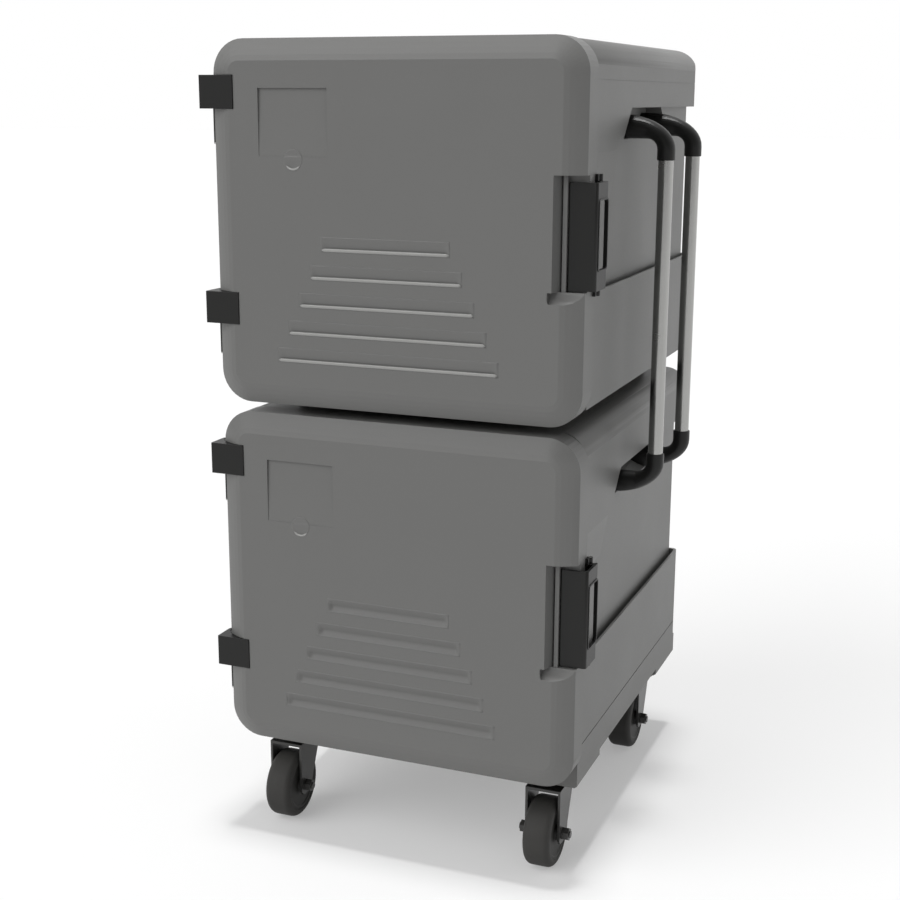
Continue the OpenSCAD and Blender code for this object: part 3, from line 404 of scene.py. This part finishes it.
def finish(name, group, settings, metallic=0.0, specular=0.5, coat=0.0):
    """A material that sends a group's colour, roughness and height to a Principled BSDF."""
    made = bpy.data.materials.new(name)
    made.use_nodes = True
    tree = made.node_tree
    shader = tree.nodes["Principled BSDF"]
    shader.inputs["Metallic"].default_value = metallic
    shader.inputs["Specular IOR Level"].default_value = specular
    shader.inputs["Coat Weight"].default_value = coat
    source = tree.nodes.new("ShaderNodeGroup")
    source.node_tree = bpy.data.node_groups[group]
    for label, value in settings.items():
        source.inputs[label].default_value = value
    bump = new_node(tree, "ShaderNodeBump", Strength=1.0, Distance=1.0)
    wire(tree, source, "Height", bump, "Height")
    wire(tree, source, "Colour", shader, "Base Color")
    wire(tree, source, "Roughness", shader, "Roughness")
    wire(tree, bump, "Normal", shader, "Normal")


def moulded(name, hue, roughness, mottle, grain, waves, dust=0.0, fineness=1.0, **gloss):
    """A moulded material. Grain and waves are heights in metres, fineness multiplies the grains."""
    finish(name, "Moulded finish",
           {"Colour": colour(hue), "Roughness": roughness, "Mottle": mottle,
            "Grains per metre": 1.0 / plastic().grain * fineness, "Grain": grain, "Waves": waves,
            "Dust": dust}, **gloss)


def drawn(name, hue, roughness, streaks):
    """A drawn metal. Streaks is their height in metres."""
    finish(name, "Drawn finish", {"Colour": colour(hue), "Roughness": roughness, "Streaks": streaks},
           metallic=1.0)


def make_materials():
    """Every finish of the cart, by name."""
    moulded_group()
    drawn_group()
    p = plastic()
    m = metal()
    moulded("Casing plastic", p.grey, roughness=0.44, mottle=0.035, grain=0.00006, waves=0.0009,
            dust=0.10, specular=0.4)
    # painted highlight: the beads' grey is twice the casing's so they look lit, with a little random
    # mottle
    moulded("Painted highlight plastic", p.edge, roughness=0.36, mottle=0.10, grain=0.00004, waves=0.0)
    moulded("Liner plastic", p.liner, roughness=0.40, mottle=0.03, grain=0.00004, waves=0.0004)
    moulded("Hardware plastic", p.black, roughness=0.42, mottle=0.10, grain=0.00003, waves=0.0002,
            fineness=1.5, specular=0.3)
    moulded("Elbow plastic", p.black, roughness=0.36, mottle=0.10, grain=0.00002, waves=0.0002,
            fineness=1.5, specular=0.3)
    # painted shade: the plinth is black and matte so the gap between the cabinets renders as dark as its
    # shadow
    moulded("Plinth painted shade black", p.black, roughness=0.60, mottle=0.10, grain=0.00005, waves=0.0004)
    moulded("Seal rubber", p.rubber, roughness=0.62, mottle=0.08, grain=0.00003, waves=0.0)
    moulded("Tread rubber", p.rubber, roughness=0.52, mottle=0.18, grain=0.00005, waves=0.0003,
            dust=0.25, specular=0.3)
    moulded("Hub plastic", p.black, roughness=0.45, mottle=0.12, grain=0.00003, waves=0.0002,
            dust=0.15, specular=0.3)
    moulded("Caster enamel", p.black, roughness=0.34, mottle=0.12, grain=0.00002, waves=0.0003,
            dust=0.12, fineness=0.6, coat=0.2)
    moulded("Foam", FOAM, roughness=0.9, mottle=0.12, grain=0.0004, waves=0.0, specular=0.2)
    drawn("Tube aluminium", m.aluminium, roughness=0.20, streaks=0.00001)
    drawn("Pin steel", m.steel, roughness=0.28, streaks=0.00001)


# ---------------------------------------------------------------- mesh helpers

def dress(node, material, edge=0.0):
    """A CAD node gets its material and, with an edge, softened corners."""
    piece = NODES[node]
    piece.data.materials.clear()
    piece.data.materials.append(bpy.data.materials[material])
    weld = piece.modifiers.new("Weld", "WELD")
    weld.merge_threshold = MERGE
    if edge > 0:
        soft = piece.modifiers.new("Soft edges", "BEVEL")
        soft.width = edge
        soft.segments = BEVEL_STEPS
        soft.limit_method = "ANGLE"
        soft.angle_limit = BEVEL_ANGLE
        soft.use_clamp_overlap = True
        soft.harden_normals = True


def surface(name, grids, material, body, closed=False, wall=0.0):
    """A mesh from points [copy, row, column, xyz], its faces pointing along d(row) x d(column).

    Closed joins the last row to the first. Poles are welded, and a wall gives the sheet that thickness
    behind its faces."""
    copies, rows, columns = grids.shape[:3]
    index = np.arange(copies * rows * columns).reshape(copies, rows, columns)
    if closed:
        index = np.concatenate([index, index[:, :1]], axis=1)
    faces = np.stack([index[:, :-1, :-1], index[:, 1:, :-1], index[:, 1:, 1:], index[:, :-1, 1:]], axis=-1)
    mesh = bpy.data.meshes.new(name)
    mesh.from_pydata(grids.reshape(-1, 3), [], faces.reshape(-1, 4))
    mesh.validate()
    mesh.polygons.foreach_set("use_smooth", np.ones(len(mesh.polygons), dtype=bool))
    mesh.materials.append(bpy.data.materials[material])
    piece = bpy.data.objects.new(name, mesh)
    bpy.context.scene.collection.objects.link(piece)
    weld = piece.modifiers.new("Weld", "WELD")
    weld.merge_threshold = MERGE
    if wall > 0:
        solid = piece.modifiers.new("Wall", "SOLIDIFY")
        solid.thickness = wall
        solid.offset = -1.0
    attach(piece, body)


def smooth(t):
    """Smoothstep of t, held to 0 and 1 outside that range."""
    t = np.clip(t, 0.0, 1.0)
    return t * t * (3.0 - 2.0 * t)


def full_turn(points):
    """That many angles round a circle, as a column."""
    return np.linspace(0.0, 2 * np.pi, points, endpoint=False)[:, None]


def groove_floors(door_low, door_middle, lip_height, lip_depth):
    """Floors of a door's grooves, [groove, along x, up z].

    Depth as a function of height: a straight slope inwards from the upper edge down to a shoulder,
    then a rounded lip that climbs back to the face. It fades out over the last stretch of each end."""
    t = trim()
    k = np.arange(t.groove_count)[:, None, None]
    half = t.groove_half - t.groove_step * k
    run = np.linspace(-1.0, 1.0, GROOVE_POINTS)[None, :, None]
    x = run * (half + t.overlap)
    heights = np.concatenate([[-t.overlap], np.linspace(0.0, lip_height, LIP_ROWS),
                              np.linspace(lip_height * SLOPE_START, t.groove_height, SLOPE_ROWS),
                              [t.groove_height + t.overlap]])
    rise = np.clip(heights / lip_height, 0.0, 1.0)
    fall = np.clip((t.groove_height - heights) / (t.groove_height - lip_height), 0.0, 1.0)
    depth = (lip_depth * np.sin(rise * np.pi / 2) * fall)[None, None, :]
    fade = smooth((half - np.abs(x)) / t.lip_fade)
    y = door_low[1] - t.film + depth * fade
    z = door_low[2] + t.groove_first + t.groove_pitch * k + heights[None, None, :]
    shape = np.broadcast_shapes(x.shape, y.shape, z.shape)
    places = (door_middle + t.groove_shift + x, y, z)
    return np.stack([np.broadcast_to(p, shape) for p in places], axis=-1)


def swept_bead(path, across, radii, proud):
    """Half-round beads on a face that looks along -Y, [bead, along the path, round the section].

    The section is half an ellipse across the path, as high as proud, and shrinks with radii to a
    point at both ends. The sheet's faces look back at the piece, so its wall lies outside it."""
    arc = np.linspace(0.0, np.pi, ARC_POINTS)[None, None, :, None]
    middle = path[:, :, None, :]
    side = across[:, :, None, :]
    size = radii[:, :, None, None]
    out = np.array([0.0, -1.0, 0.0])
    return middle + size * side * np.cos(arc) + proud * (size / size.max()) * out * np.sin(arc)


def groove_lips(door_low, door_middle):
    """Beads along the lower edges of a door's grooves, [groove, along x, round the section].

    Each is as long as its groove, and thins to a point at both ends."""
    t = trim()
    k = np.arange(t.groove_count)[:, None]
    half = t.groove_half - t.groove_step * k
    run = np.linspace(-1.0, 1.0, GROOVE_POINTS)[None, :]
    x = door_middle + t.groove_shift + run * half
    y = np.full_like(x, door_low[1] - t.film)
    z = door_low[2] + t.groove_first + t.groove_pitch * k + t.lip_bead + 0.0 * run
    swell = smooth((1.0 - np.abs(run)) * half / t.lip_fade * BEAD_TAPER)
    radii = t.lip_bead * np.maximum(swell, THIN_END)
    across = np.broadcast_to(np.array([0.0, 0.0, 1.0]), (*x.shape, 3))
    return swept_bead(np.stack([x, y, z], axis=-1), across, radii, t.lip_proud)


def notch_lip(centre, face_y):
    """Crescent bead along the lower rim of a thumb notch, [1, along the rim, round the section].

    The rim is an arc of the notch's radius, centred on straight down."""
    t = trim()
    run = np.linspace(-1.0, 1.0, CRESCENT_POINTS)[None, :]
    angle = STRAIGHT_DOWN + run * t.crescent_turn
    outward = np.stack([np.cos(angle), 0.0 * angle, np.sin(angle)], axis=-1)
    middle = np.array([centre[0], face_y - t.film, centre[1]]) + t.notch_radius * outward
    radii = t.crescent_bead * np.maximum(smooth((1.0 - np.abs(run)) * CRESCENT_TAPER), THIN_END)
    return swept_bead(middle, -outward, radii, t.lip_proud)


def notch_floor(centre, face_y, pocket_z):
    """Shallow bowl of the thumb notch, [1, angle, radius].

    Depth falls with the cube of the radius, and only the lower half is pressed in. Above the pocket's
    edge it is at least the pocket's."""
    t = trim()
    angle = full_turn(ROUND_POINTS)
    rings = np.linspace(t.notch_radius, 0.0, BOWL_RINGS)
    radius = np.concatenate([[t.notch_radius + t.overlap], rings])[None, :]
    bowl = t.notch_depth * (1.0 - np.minimum(radius / t.notch_radius, 1.0) ** BOWL_POWER)
    bowl = bowl * smooth(-radius / t.notch_radius * np.sin(angle))
    z = centre[1] + radius * np.sin(angle)
    x = centre[0] + radius * np.cos(angle)
    pocket = t.pocket_foot * smooth((z - pocket_z) / t.film / POCKET_BLEND)
    y = face_y - t.film + np.maximum(bowl, pocket)
    return np.stack([x, y, z], axis=-1)[None]


def screw_heads(places, axis_x):
    """Pan heads with a cross recess that face along +X or -X, [screw, angle, ring].

    The head is a dome on an upright side, open at its foot. The recess sinks where the angle lies near
    one of four arms, and the arms join in the middle of the head."""
    m = metal()
    angle = full_turn(SCREW_POINTS)
    ring = np.array(SCREW_RINGS)[None, :]
    dome = np.array(SCREW_DOME)[None, :]
    arm = smooth((np.cos(RECESS_ARMS * angle) + ARM_WIDTH) / ARM_FADE)
    reach = smooth((REACH - ring) / REACH_FADE)
    core = smooth((CORE - ring) / CORE_FADE)
    height = m.screw_height * (dome - RECESS_DEPTH * reach * np.maximum(arm, core))
    across = m.screw_radius * ring * np.cos(angle) * axis_x
    up = m.screw_radius * ring * np.sin(angle)
    head = np.stack([axis_x * height, across, up + 0.0 * height], axis=-1)
    return np.asarray(places)[:, None, None, :] + head[None]


def mouth_bead(centre, mouth_z, outer, inner, way):
    """Rounded bead round a tube at an elbow's mouth, [1, round the tube, across the bead].

    The section is a half circle between the inner and outer radius, proud of the mouth along way."""
    turn = full_turn(ROUND_POINTS)
    start, end = (0.0, np.pi) if way > 0 else (np.pi, 0.0)
    arc = np.linspace(start, end, ARC_POINTS)[None, :]
    middle = (outer + inner) / 2
    half = (outer - inner) / 2
    radius = middle + half * np.cos(arc)
    x = centre[0] + radius * np.cos(turn)
    y = centre[1] + radius * np.sin(turn)
    z = mouth_z + way * half * np.sin(arc) + 0.0 * turn
    return np.stack([x, y, z], axis=-1)[None]


# ---------------------------------------------------------------- operators

class CabinetShells(bpy.types.Operator):
    """Finish of the two moulded casings and the plinth between them"""
    bl_idname = "cart.cabinet_shells"
    bl_label = "Cabinet shells"

    def execute(self, context):
        for level in LEVELS:
            dress(f"{level}_shell", "Casing plastic", EDGES["shell"])
            dress(f"{level}_foam", "Foam")
        # the plinth's black is painted shade for the gap between the cabinets
        dress("stacking_plinth", "Plinth painted shade black", EDGES["stacking_plinth"])
        return {"FINISHED"}


class CabinetInsides(bpy.types.Operator):
    """Finish of the liners and tray racks"""
    bl_idname = "cart.cabinet_insides"
    bl_label = "Cabinet insides"

    def execute(self, context):
        for level in LEVELS:
            dress(f"{level}_liner", "Liner plastic", EDGES["liner"])
            dress(f"{level}_tray_racks", "Liner plastic", EDGES["tray_racks"])
        return {"FINISHED"}


class Doors(bpy.types.Operator):
    """Finish of the doors, their panels and seals"""
    bl_idname = "cart.doors"
    bl_label = "Doors"

    def execute(self, context):
        for level in LEVELS:
            dress(f"{level}_door_shell", "Casing plastic", EDGES["door_shell"])
            dress(f"{level}_door_foam", "Foam")
            dress(f"{level}_door_liner", "Liner plastic", EDGES["door_liner"])
            dress(f"{level}_door_gasket", "Seal rubber", EDGES["door_gasket"])
        return {"FINISHED"}


class DoorTrim(bpy.types.Operator):
    """Groove floors with their lips, and thumb notches, in the doors' faces; the raised lips and crescents
    are painted paler as a highlight
    """
    bl_idname = "cart.door_trim"
    bl_label = "Door trim"

    pocket_in: bpy.props.FloatProperty(
        name="Pocket middle", description="Middle of the card pocket from the door's hinge edge",
        default=0.12425, unit="LENGTH")
    pocket_down: bpy.props.FloatProperty(
        name="Pocket edge", description="Lower edge of the card pocket below the door's top",
        default=0.152, unit="LENGTH")
    notch_down: bpy.props.FloatProperty(
        name="Notch drop", description="Middle of the thumb notch below the pocket's lower edge",
        default=0.004, unit="LENGTH")

    def execute(self, context):
        for level in LEVELS:
            low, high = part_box(f"{level}_door_shell")
            middle = (low[0] + high[0]) / 2
            if level == "upper":
                floors = groove_floors(low, middle, trim().lip_height, trim().lip_depth)
            else:
                floors = groove_floors(low, middle, trim().wave_height, trim().wave_depth)
            surface(f"{level}_groove_floors", floors, "Casing plastic", f"{level}_door",
                    wall=trim().wall)
            # only the upper door's grooves have a raised lip, painted paler than the casing as a
            # highlight; the lower door's are soft waves
            if level == "upper":
                surface("upper_groove_lips", groove_lips(low, middle), "Painted highlight plastic", "upper_door",
                        wall=trim().wall)
            pocket_z = high[2] - self.pocket_down
            centre = (low[0] + self.pocket_in, pocket_z - self.notch_down)
            surface(f"{level}_thumb_notch", notch_floor(centre, low[1], pocket_z), "Casing plastic",
                    f"{level}_door", closed=True, wall=trim().wall)
            # the crescent bead under the notch is painted paler than the casing as a highlight
            surface(f"{level}_notch_lip", notch_lip(centre, low[1]), "Painted highlight plastic",
                    f"{level}_door", wall=trim().wall)
        return {"FINISHED"}


class Fasteners(bpy.types.Operator):
    """Screw heads on the hinge brackets and the latch keepers"""
    bl_idname = "cart.fasteners"
    bl_label = "Fasteners"

    arm_in: bpy.props.FloatProperty(
        name="Bracket face", description="How far the bracket's arm lies in from its outermost edge",
        default=0.00085, unit="LENGTH")
    bracket_y: bpy.props.FloatProperty(
        name="Bracket screw line", description="Screws' distance from the bracket's rear end",
        default=0.016, unit="LENGTH")
    keeper_y: bpy.props.FloatProperty(
        name="Keeper screw line", description="Screws' distance from the keeper's rear end",
        default=0.009, unit="LENGTH")
    keeper_rib: bpy.props.FloatProperty(
        name="Keeper rib", description="How far the strike rib stands past the keeper's plate",
        default=0.0114, unit="LENGTH")
    ends: bpy.props.FloatProperty(
        name="Screw spacing", description="Screws' distance from the upper and lower edges",
        default=0.011, unit="LENGTH")

    def execute(self, context):
        for level in LEVELS:
            for end in ("top", "bottom"):
                low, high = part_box(f"{level}_hinge_bracket_{end}")
                arm_x = low[0] + self.arm_in
                places = [(arm_x, high[1] - self.bracket_y, z)
                          for z in (low[2] + self.ends, high[2] - self.ends)]
                surface(f"{level}_bracket_screws_{end}", screw_heads(places, -1.0), "Pin steel",
                        "cart", closed=True)
            low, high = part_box(f"{level}_latch_keeper")
            places = [(high[0] - self.keeper_rib, high[1] - self.keeper_y, z)
                      for z in (low[2] + self.ends, high[2] - self.ends)]
            surface(f"{level}_keeper_screws", screw_heads(places, 1.0), "Pin steel", "cart",
                    closed=True)
        return {"FINISHED"}


class Hinges(bpy.types.Operator):
    """Finish of the hinge blocks, brackets and pins"""
    bl_idname = "cart.hinges"
    bl_label = "Hinges"

    def execute(self, context):
        for level in LEVELS:
            for end in ("top", "bottom"):
                dress(f"{level}_hinge_block_{end}", "Hardware plastic", EDGES["hinge_block"])
                dress(f"{level}_hinge_bracket_{end}", "Hardware plastic", EDGES["hinge_bracket"])
            dress(f"{level}_hinge_pins", "Pin steel", EDGES["hinge_pins"])
        return {"FINISHED"}


class Latches(bpy.types.Operator):
    """Finish of the latch levers, mounts, pins and keepers"""
    bl_idname = "cart.latches"
    bl_label = "Latches"

    def execute(self, context):
        for level in LEVELS:
            dress(f"{level}_latch_lever", "Hardware plastic", EDGES["latch_lever"])
            dress(f"{level}_latch_mount", "Hardware plastic", EDGES["latch_mount"])
            dress(f"{level}_latch_keeper", "Hardware plastic", EDGES["latch_keeper"])
            dress(f"{level}_latch_pin", "Pin steel", EDGES["latch_pin"])
        return {"FINISHED"}


class Handle(bpy.types.Operator):
    """Finish of the two tubes and their four elbows, and the beads at the elbows' mouths"""
    bl_idname = "cart.handle"
    bl_label = "Handle"

    collar: bpy.props.FloatProperty(
        name="Collar", description="How far the mouth's outer edge stands out from the tube",
        default=0.0019, unit="LENGTH")
    slip: bpy.props.FloatProperty(
        name="Slip", description="Clearance between the mouth's bead and the tube", default=0.00015,
        unit="LENGTH")
    bead_wall: bpy.props.FloatProperty(
        name="Bead wall", description="Thickness of the mouth's bead", default=0.0004, unit="LENGTH")

    def execute(self, context):
        for end in ("front", "rear"):
            dress(f"handle_tube_{end}", "Tube aluminium")
            low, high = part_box(f"handle_tube_{end}")
            axis = ((low[0] + high[0]) / 2, (low[1] + high[1]) / 2)
            radius = (high[0] - low[0]) / 2
            for level in LEVELS:
                node = f"elbow_{level}_{end}"
                dress(node, "Elbow plastic")
                floor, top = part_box(node)
                mouth_z = top[2] if level == "lower" else floor[2]
                way = 1.0 if level == "lower" else -1.0
                bead = mouth_bead(axis, mouth_z, radius + self.collar, radius + self.slip, way)
                surface(f"mouth_bead_{level}_{end}", bead, "Elbow plastic", "cart",
                        closed=True, wall=self.bead_wall)
        return {"FINISHED"}


class CartBase(bpy.types.Operator):
    """Finish of the caster base"""
    bl_idname = "cart.caster_base"
    bl_label = "Caster base"

    def execute(self, context):
        dress("caster_base", "Casing plastic", EDGES["caster_base"])
        return {"FINISHED"}


class Casters(bpy.types.Operator):
    """Finish of the four casters"""
    bl_idname = "cart.casters"
    bl_label = "Casters"

    def execute(self, context):
        for corner in CORNERS:
            dress(f"caster_plate_{corner}", "Caster enamel", EDGES["caster_plate"])
            dress(f"caster_fork_{corner}", "Caster enamel", EDGES["caster_fork"])
            dress(f"wheel_hub_{corner}", "Hub plastic", EDGES["wheel_hub"])
            dress(f"wheel_tread_{corner}", "Tread rubber")
        return {"FINISHED"}


def far_lamp(name, strength, spread, towards):
    """A lamp at infinity that shines along a direction, as strong everywhere."""
    data = bpy.data.lights.new(name, "SUN")
    data.energy = strength
    data.angle = spread
    lamp = bpy.data.objects.new(name, data)
    bpy.context.scene.collection.objects.link(lamp)
    lamp.rotation_euler = Vector(towards).to_track_quat("-Z", "Y").to_euler()


class Studio(bpy.types.Operator):
    """Floor, light and camera"""
    bl_idname = "cart.studio"
    bl_label = "Studio"

    def execute(self, context):
        s = studio()
        self.floor(s)
        self.world(s)
        far_lamp("Overhead", s.overhead, s.overhead_spread, OVERHEAD_WAY)
        far_lamp("Key", s.key, s.key_spread, KEY_WAY)
        self.camera(s)
        context.scene.view_settings.view_transform = "Standard"
        return {"FINISHED"}

    def floor(self, s):
        """Wide floor that the camera and gloss see a little brighter than its shading."""
        axis = np.array([-FLOOR_HALF, FLOOR_HALF])
        x, y = np.meshgrid(axis, axis, indexing="ij")
        corners = np.stack([x, y, np.zeros_like(x)], axis=-1)
        mesh = bpy.data.meshes.new("Floor")
        mesh.from_pydata(corners.reshape(-1, 3), [], [(0, 2, 3, 1)])
        floor = bpy.data.objects.new("Floor", mesh)
        bpy.context.scene.collection.objects.link(floor)
        material = bpy.data.materials.new("Studio floor")
        material.use_nodes = True
        tree = material.node_tree
        tree.nodes.remove(tree.nodes["Principled BSDF"])
        paint = new_node(tree, "ShaderNodeBsdfDiffuse", Color=FLOOR_GREY)
        glow = new_node(tree, "ShaderNodeEmission", Color=WHITE)
        path = tree.nodes.new("ShaderNodeLightPath")
        seen = maths(tree, "MAXIMUM", (path, "Is Camera Ray"), (path, "Is Glossy Ray"))
        share = maths(tree, "MULTIPLY", (seen, 0), s.floor_glow)
        wire(tree, share, 0, glow, "Strength")
        both = tree.nodes.new("ShaderNodeAddShader")
        wire(tree, paint, 0, both, 0)
        wire(tree, glow, 0, both, 1)
        wire(tree, both, 0, tree.nodes["Material Output"], "Surface")
        mesh.materials.append(material)

    def world(self, s):
        """Even light; white for the camera; for gloss white behind the cart and dim before it."""
        world = bpy.data.worlds.new("Studio")
        bpy.context.scene.world = world
        world.use_nodes = True
        tree = world.node_tree
        light = tree.nodes["Background"]
        light.inputs["Color"].default_value = WHITE
        path = tree.nodes.new("ShaderNodeLightPath")
        place = tree.nodes.new("ShaderNodeTexCoord")
        split = tree.nodes.new("ShaderNodeSeparateXYZ")
        wire(tree, place, "Generated", split, 0)
        behind = ramp(tree, GLOSS_FROM, GLOSS_TO, GLOSS_DIM, interpolation_type="SMOOTHSTEP")
        wire(tree, split, "Y", behind, "Value")
        glossy = new_node(tree, "ShaderNodeMix", data_type="FLOAT")
        wire(tree, path, "Is Glossy Ray", glossy, "Factor")
        glossy.inputs[2].default_value = s.ambient
        wire(tree, behind, "Result", glossy, 3)
        seen = new_node(tree, "ShaderNodeMix", data_type="FLOAT")
        wire(tree, path, "Is Camera Ray", seen, "Factor")
        wire(tree, glossy, 0, seen, 2)
        seen.inputs[3].default_value = 1.0
        wire(tree, seen, 0, light, "Strength")

    def camera(self, s):
        """Camera at the eye point, turned left by yaw, down by pitch and about its own axis by roll."""
        ahead = Vector((-math.sin(s.yaw) * math.cos(s.pitch), math.cos(s.yaw) * math.cos(s.pitch),
                        -math.sin(s.pitch)))
        right = Vector((math.cos(s.yaw), math.sin(s.yaw), 0.0))
        up = right.cross(ahead)
        rolled_right = right * math.cos(s.roll) + up * math.sin(s.roll)
        rolled_up = up * math.cos(s.roll) - right * math.sin(s.roll)
        data = bpy.data.cameras.new("Camera")
        data.sensor_width = SENSOR
        data.lens = s.focal
        camera = bpy.data.objects.new("Camera", data)
        bpy.context.scene.collection.objects.link(camera)
        axes = Matrix((rolled_right, rolled_up, -ahead)).transposed().to_4x4()
        camera.matrix_world = Matrix.Translation(Vector(s.eye)) @ axes
        bpy.context.scene.camera = camera


OPERATORS = (CabinetShells, CabinetInsides, Doors, DoorTrim, Hinges, Latches, Fasteners, Handle, CartBase,
             Casters, Studio)


class CartPanel(bpy.types.Panel):
    """Sidebar list of the cart's steps"""
    bl_label = "Meal Tray Cart"
    bl_idname = "VIEW3D_PT_meal_tray_cart"
    bl_space_type = "VIEW_3D"
    bl_region_type = "UI"
    bl_category = "Tray Cart"

    def draw(self, context):
        for operator in OPERATORS:
            self.layout.operator(operator.bl_idname)


SETTINGS = {"cart_studio": StudioSettings, "cart_plastic": PlasticSettings, "cart_metal": MetalSettings,
            "cart_trim": TrimSettings}


def register():
    for group in SETTINGS.values():
        bpy.utils.register_class(group)
    for name, group in SETTINGS.items():
        setattr(bpy.types.Scene, name, bpy.props.PointerProperty(type=group))
    for operator in OPERATORS:
        bpy.utils.register_class(operator)
    bpy.utils.register_class(CartPanel)


def unregister():
    bpy.utils.unregister_class(CartPanel)
    for operator in reversed(OPERATORS):
        bpy.utils.unregister_class(operator)
    for name, group in reversed(SETTINGS.items()):
        delattr(bpy.types.Scene, name)
        bpy.utils.unregister_class(group)


def main():
    register()
    make_materials()
    bpy.ops.cart.cabinet_shells()
    bpy.ops.cart.cabinet_insides()
    bpy.ops.cart.doors()
    bpy.ops.cart.door_trim()
    bpy.ops.cart.hinges()
    bpy.ops.cart.latches()
    bpy.ops.cart.fasteners()
    bpy.ops.cart.handle()
    bpy.ops.cart.caster_base()
    bpy.ops.cart.casters()
    bpy.ops.cart.studio()


if __name__ == "__main__":
    main()
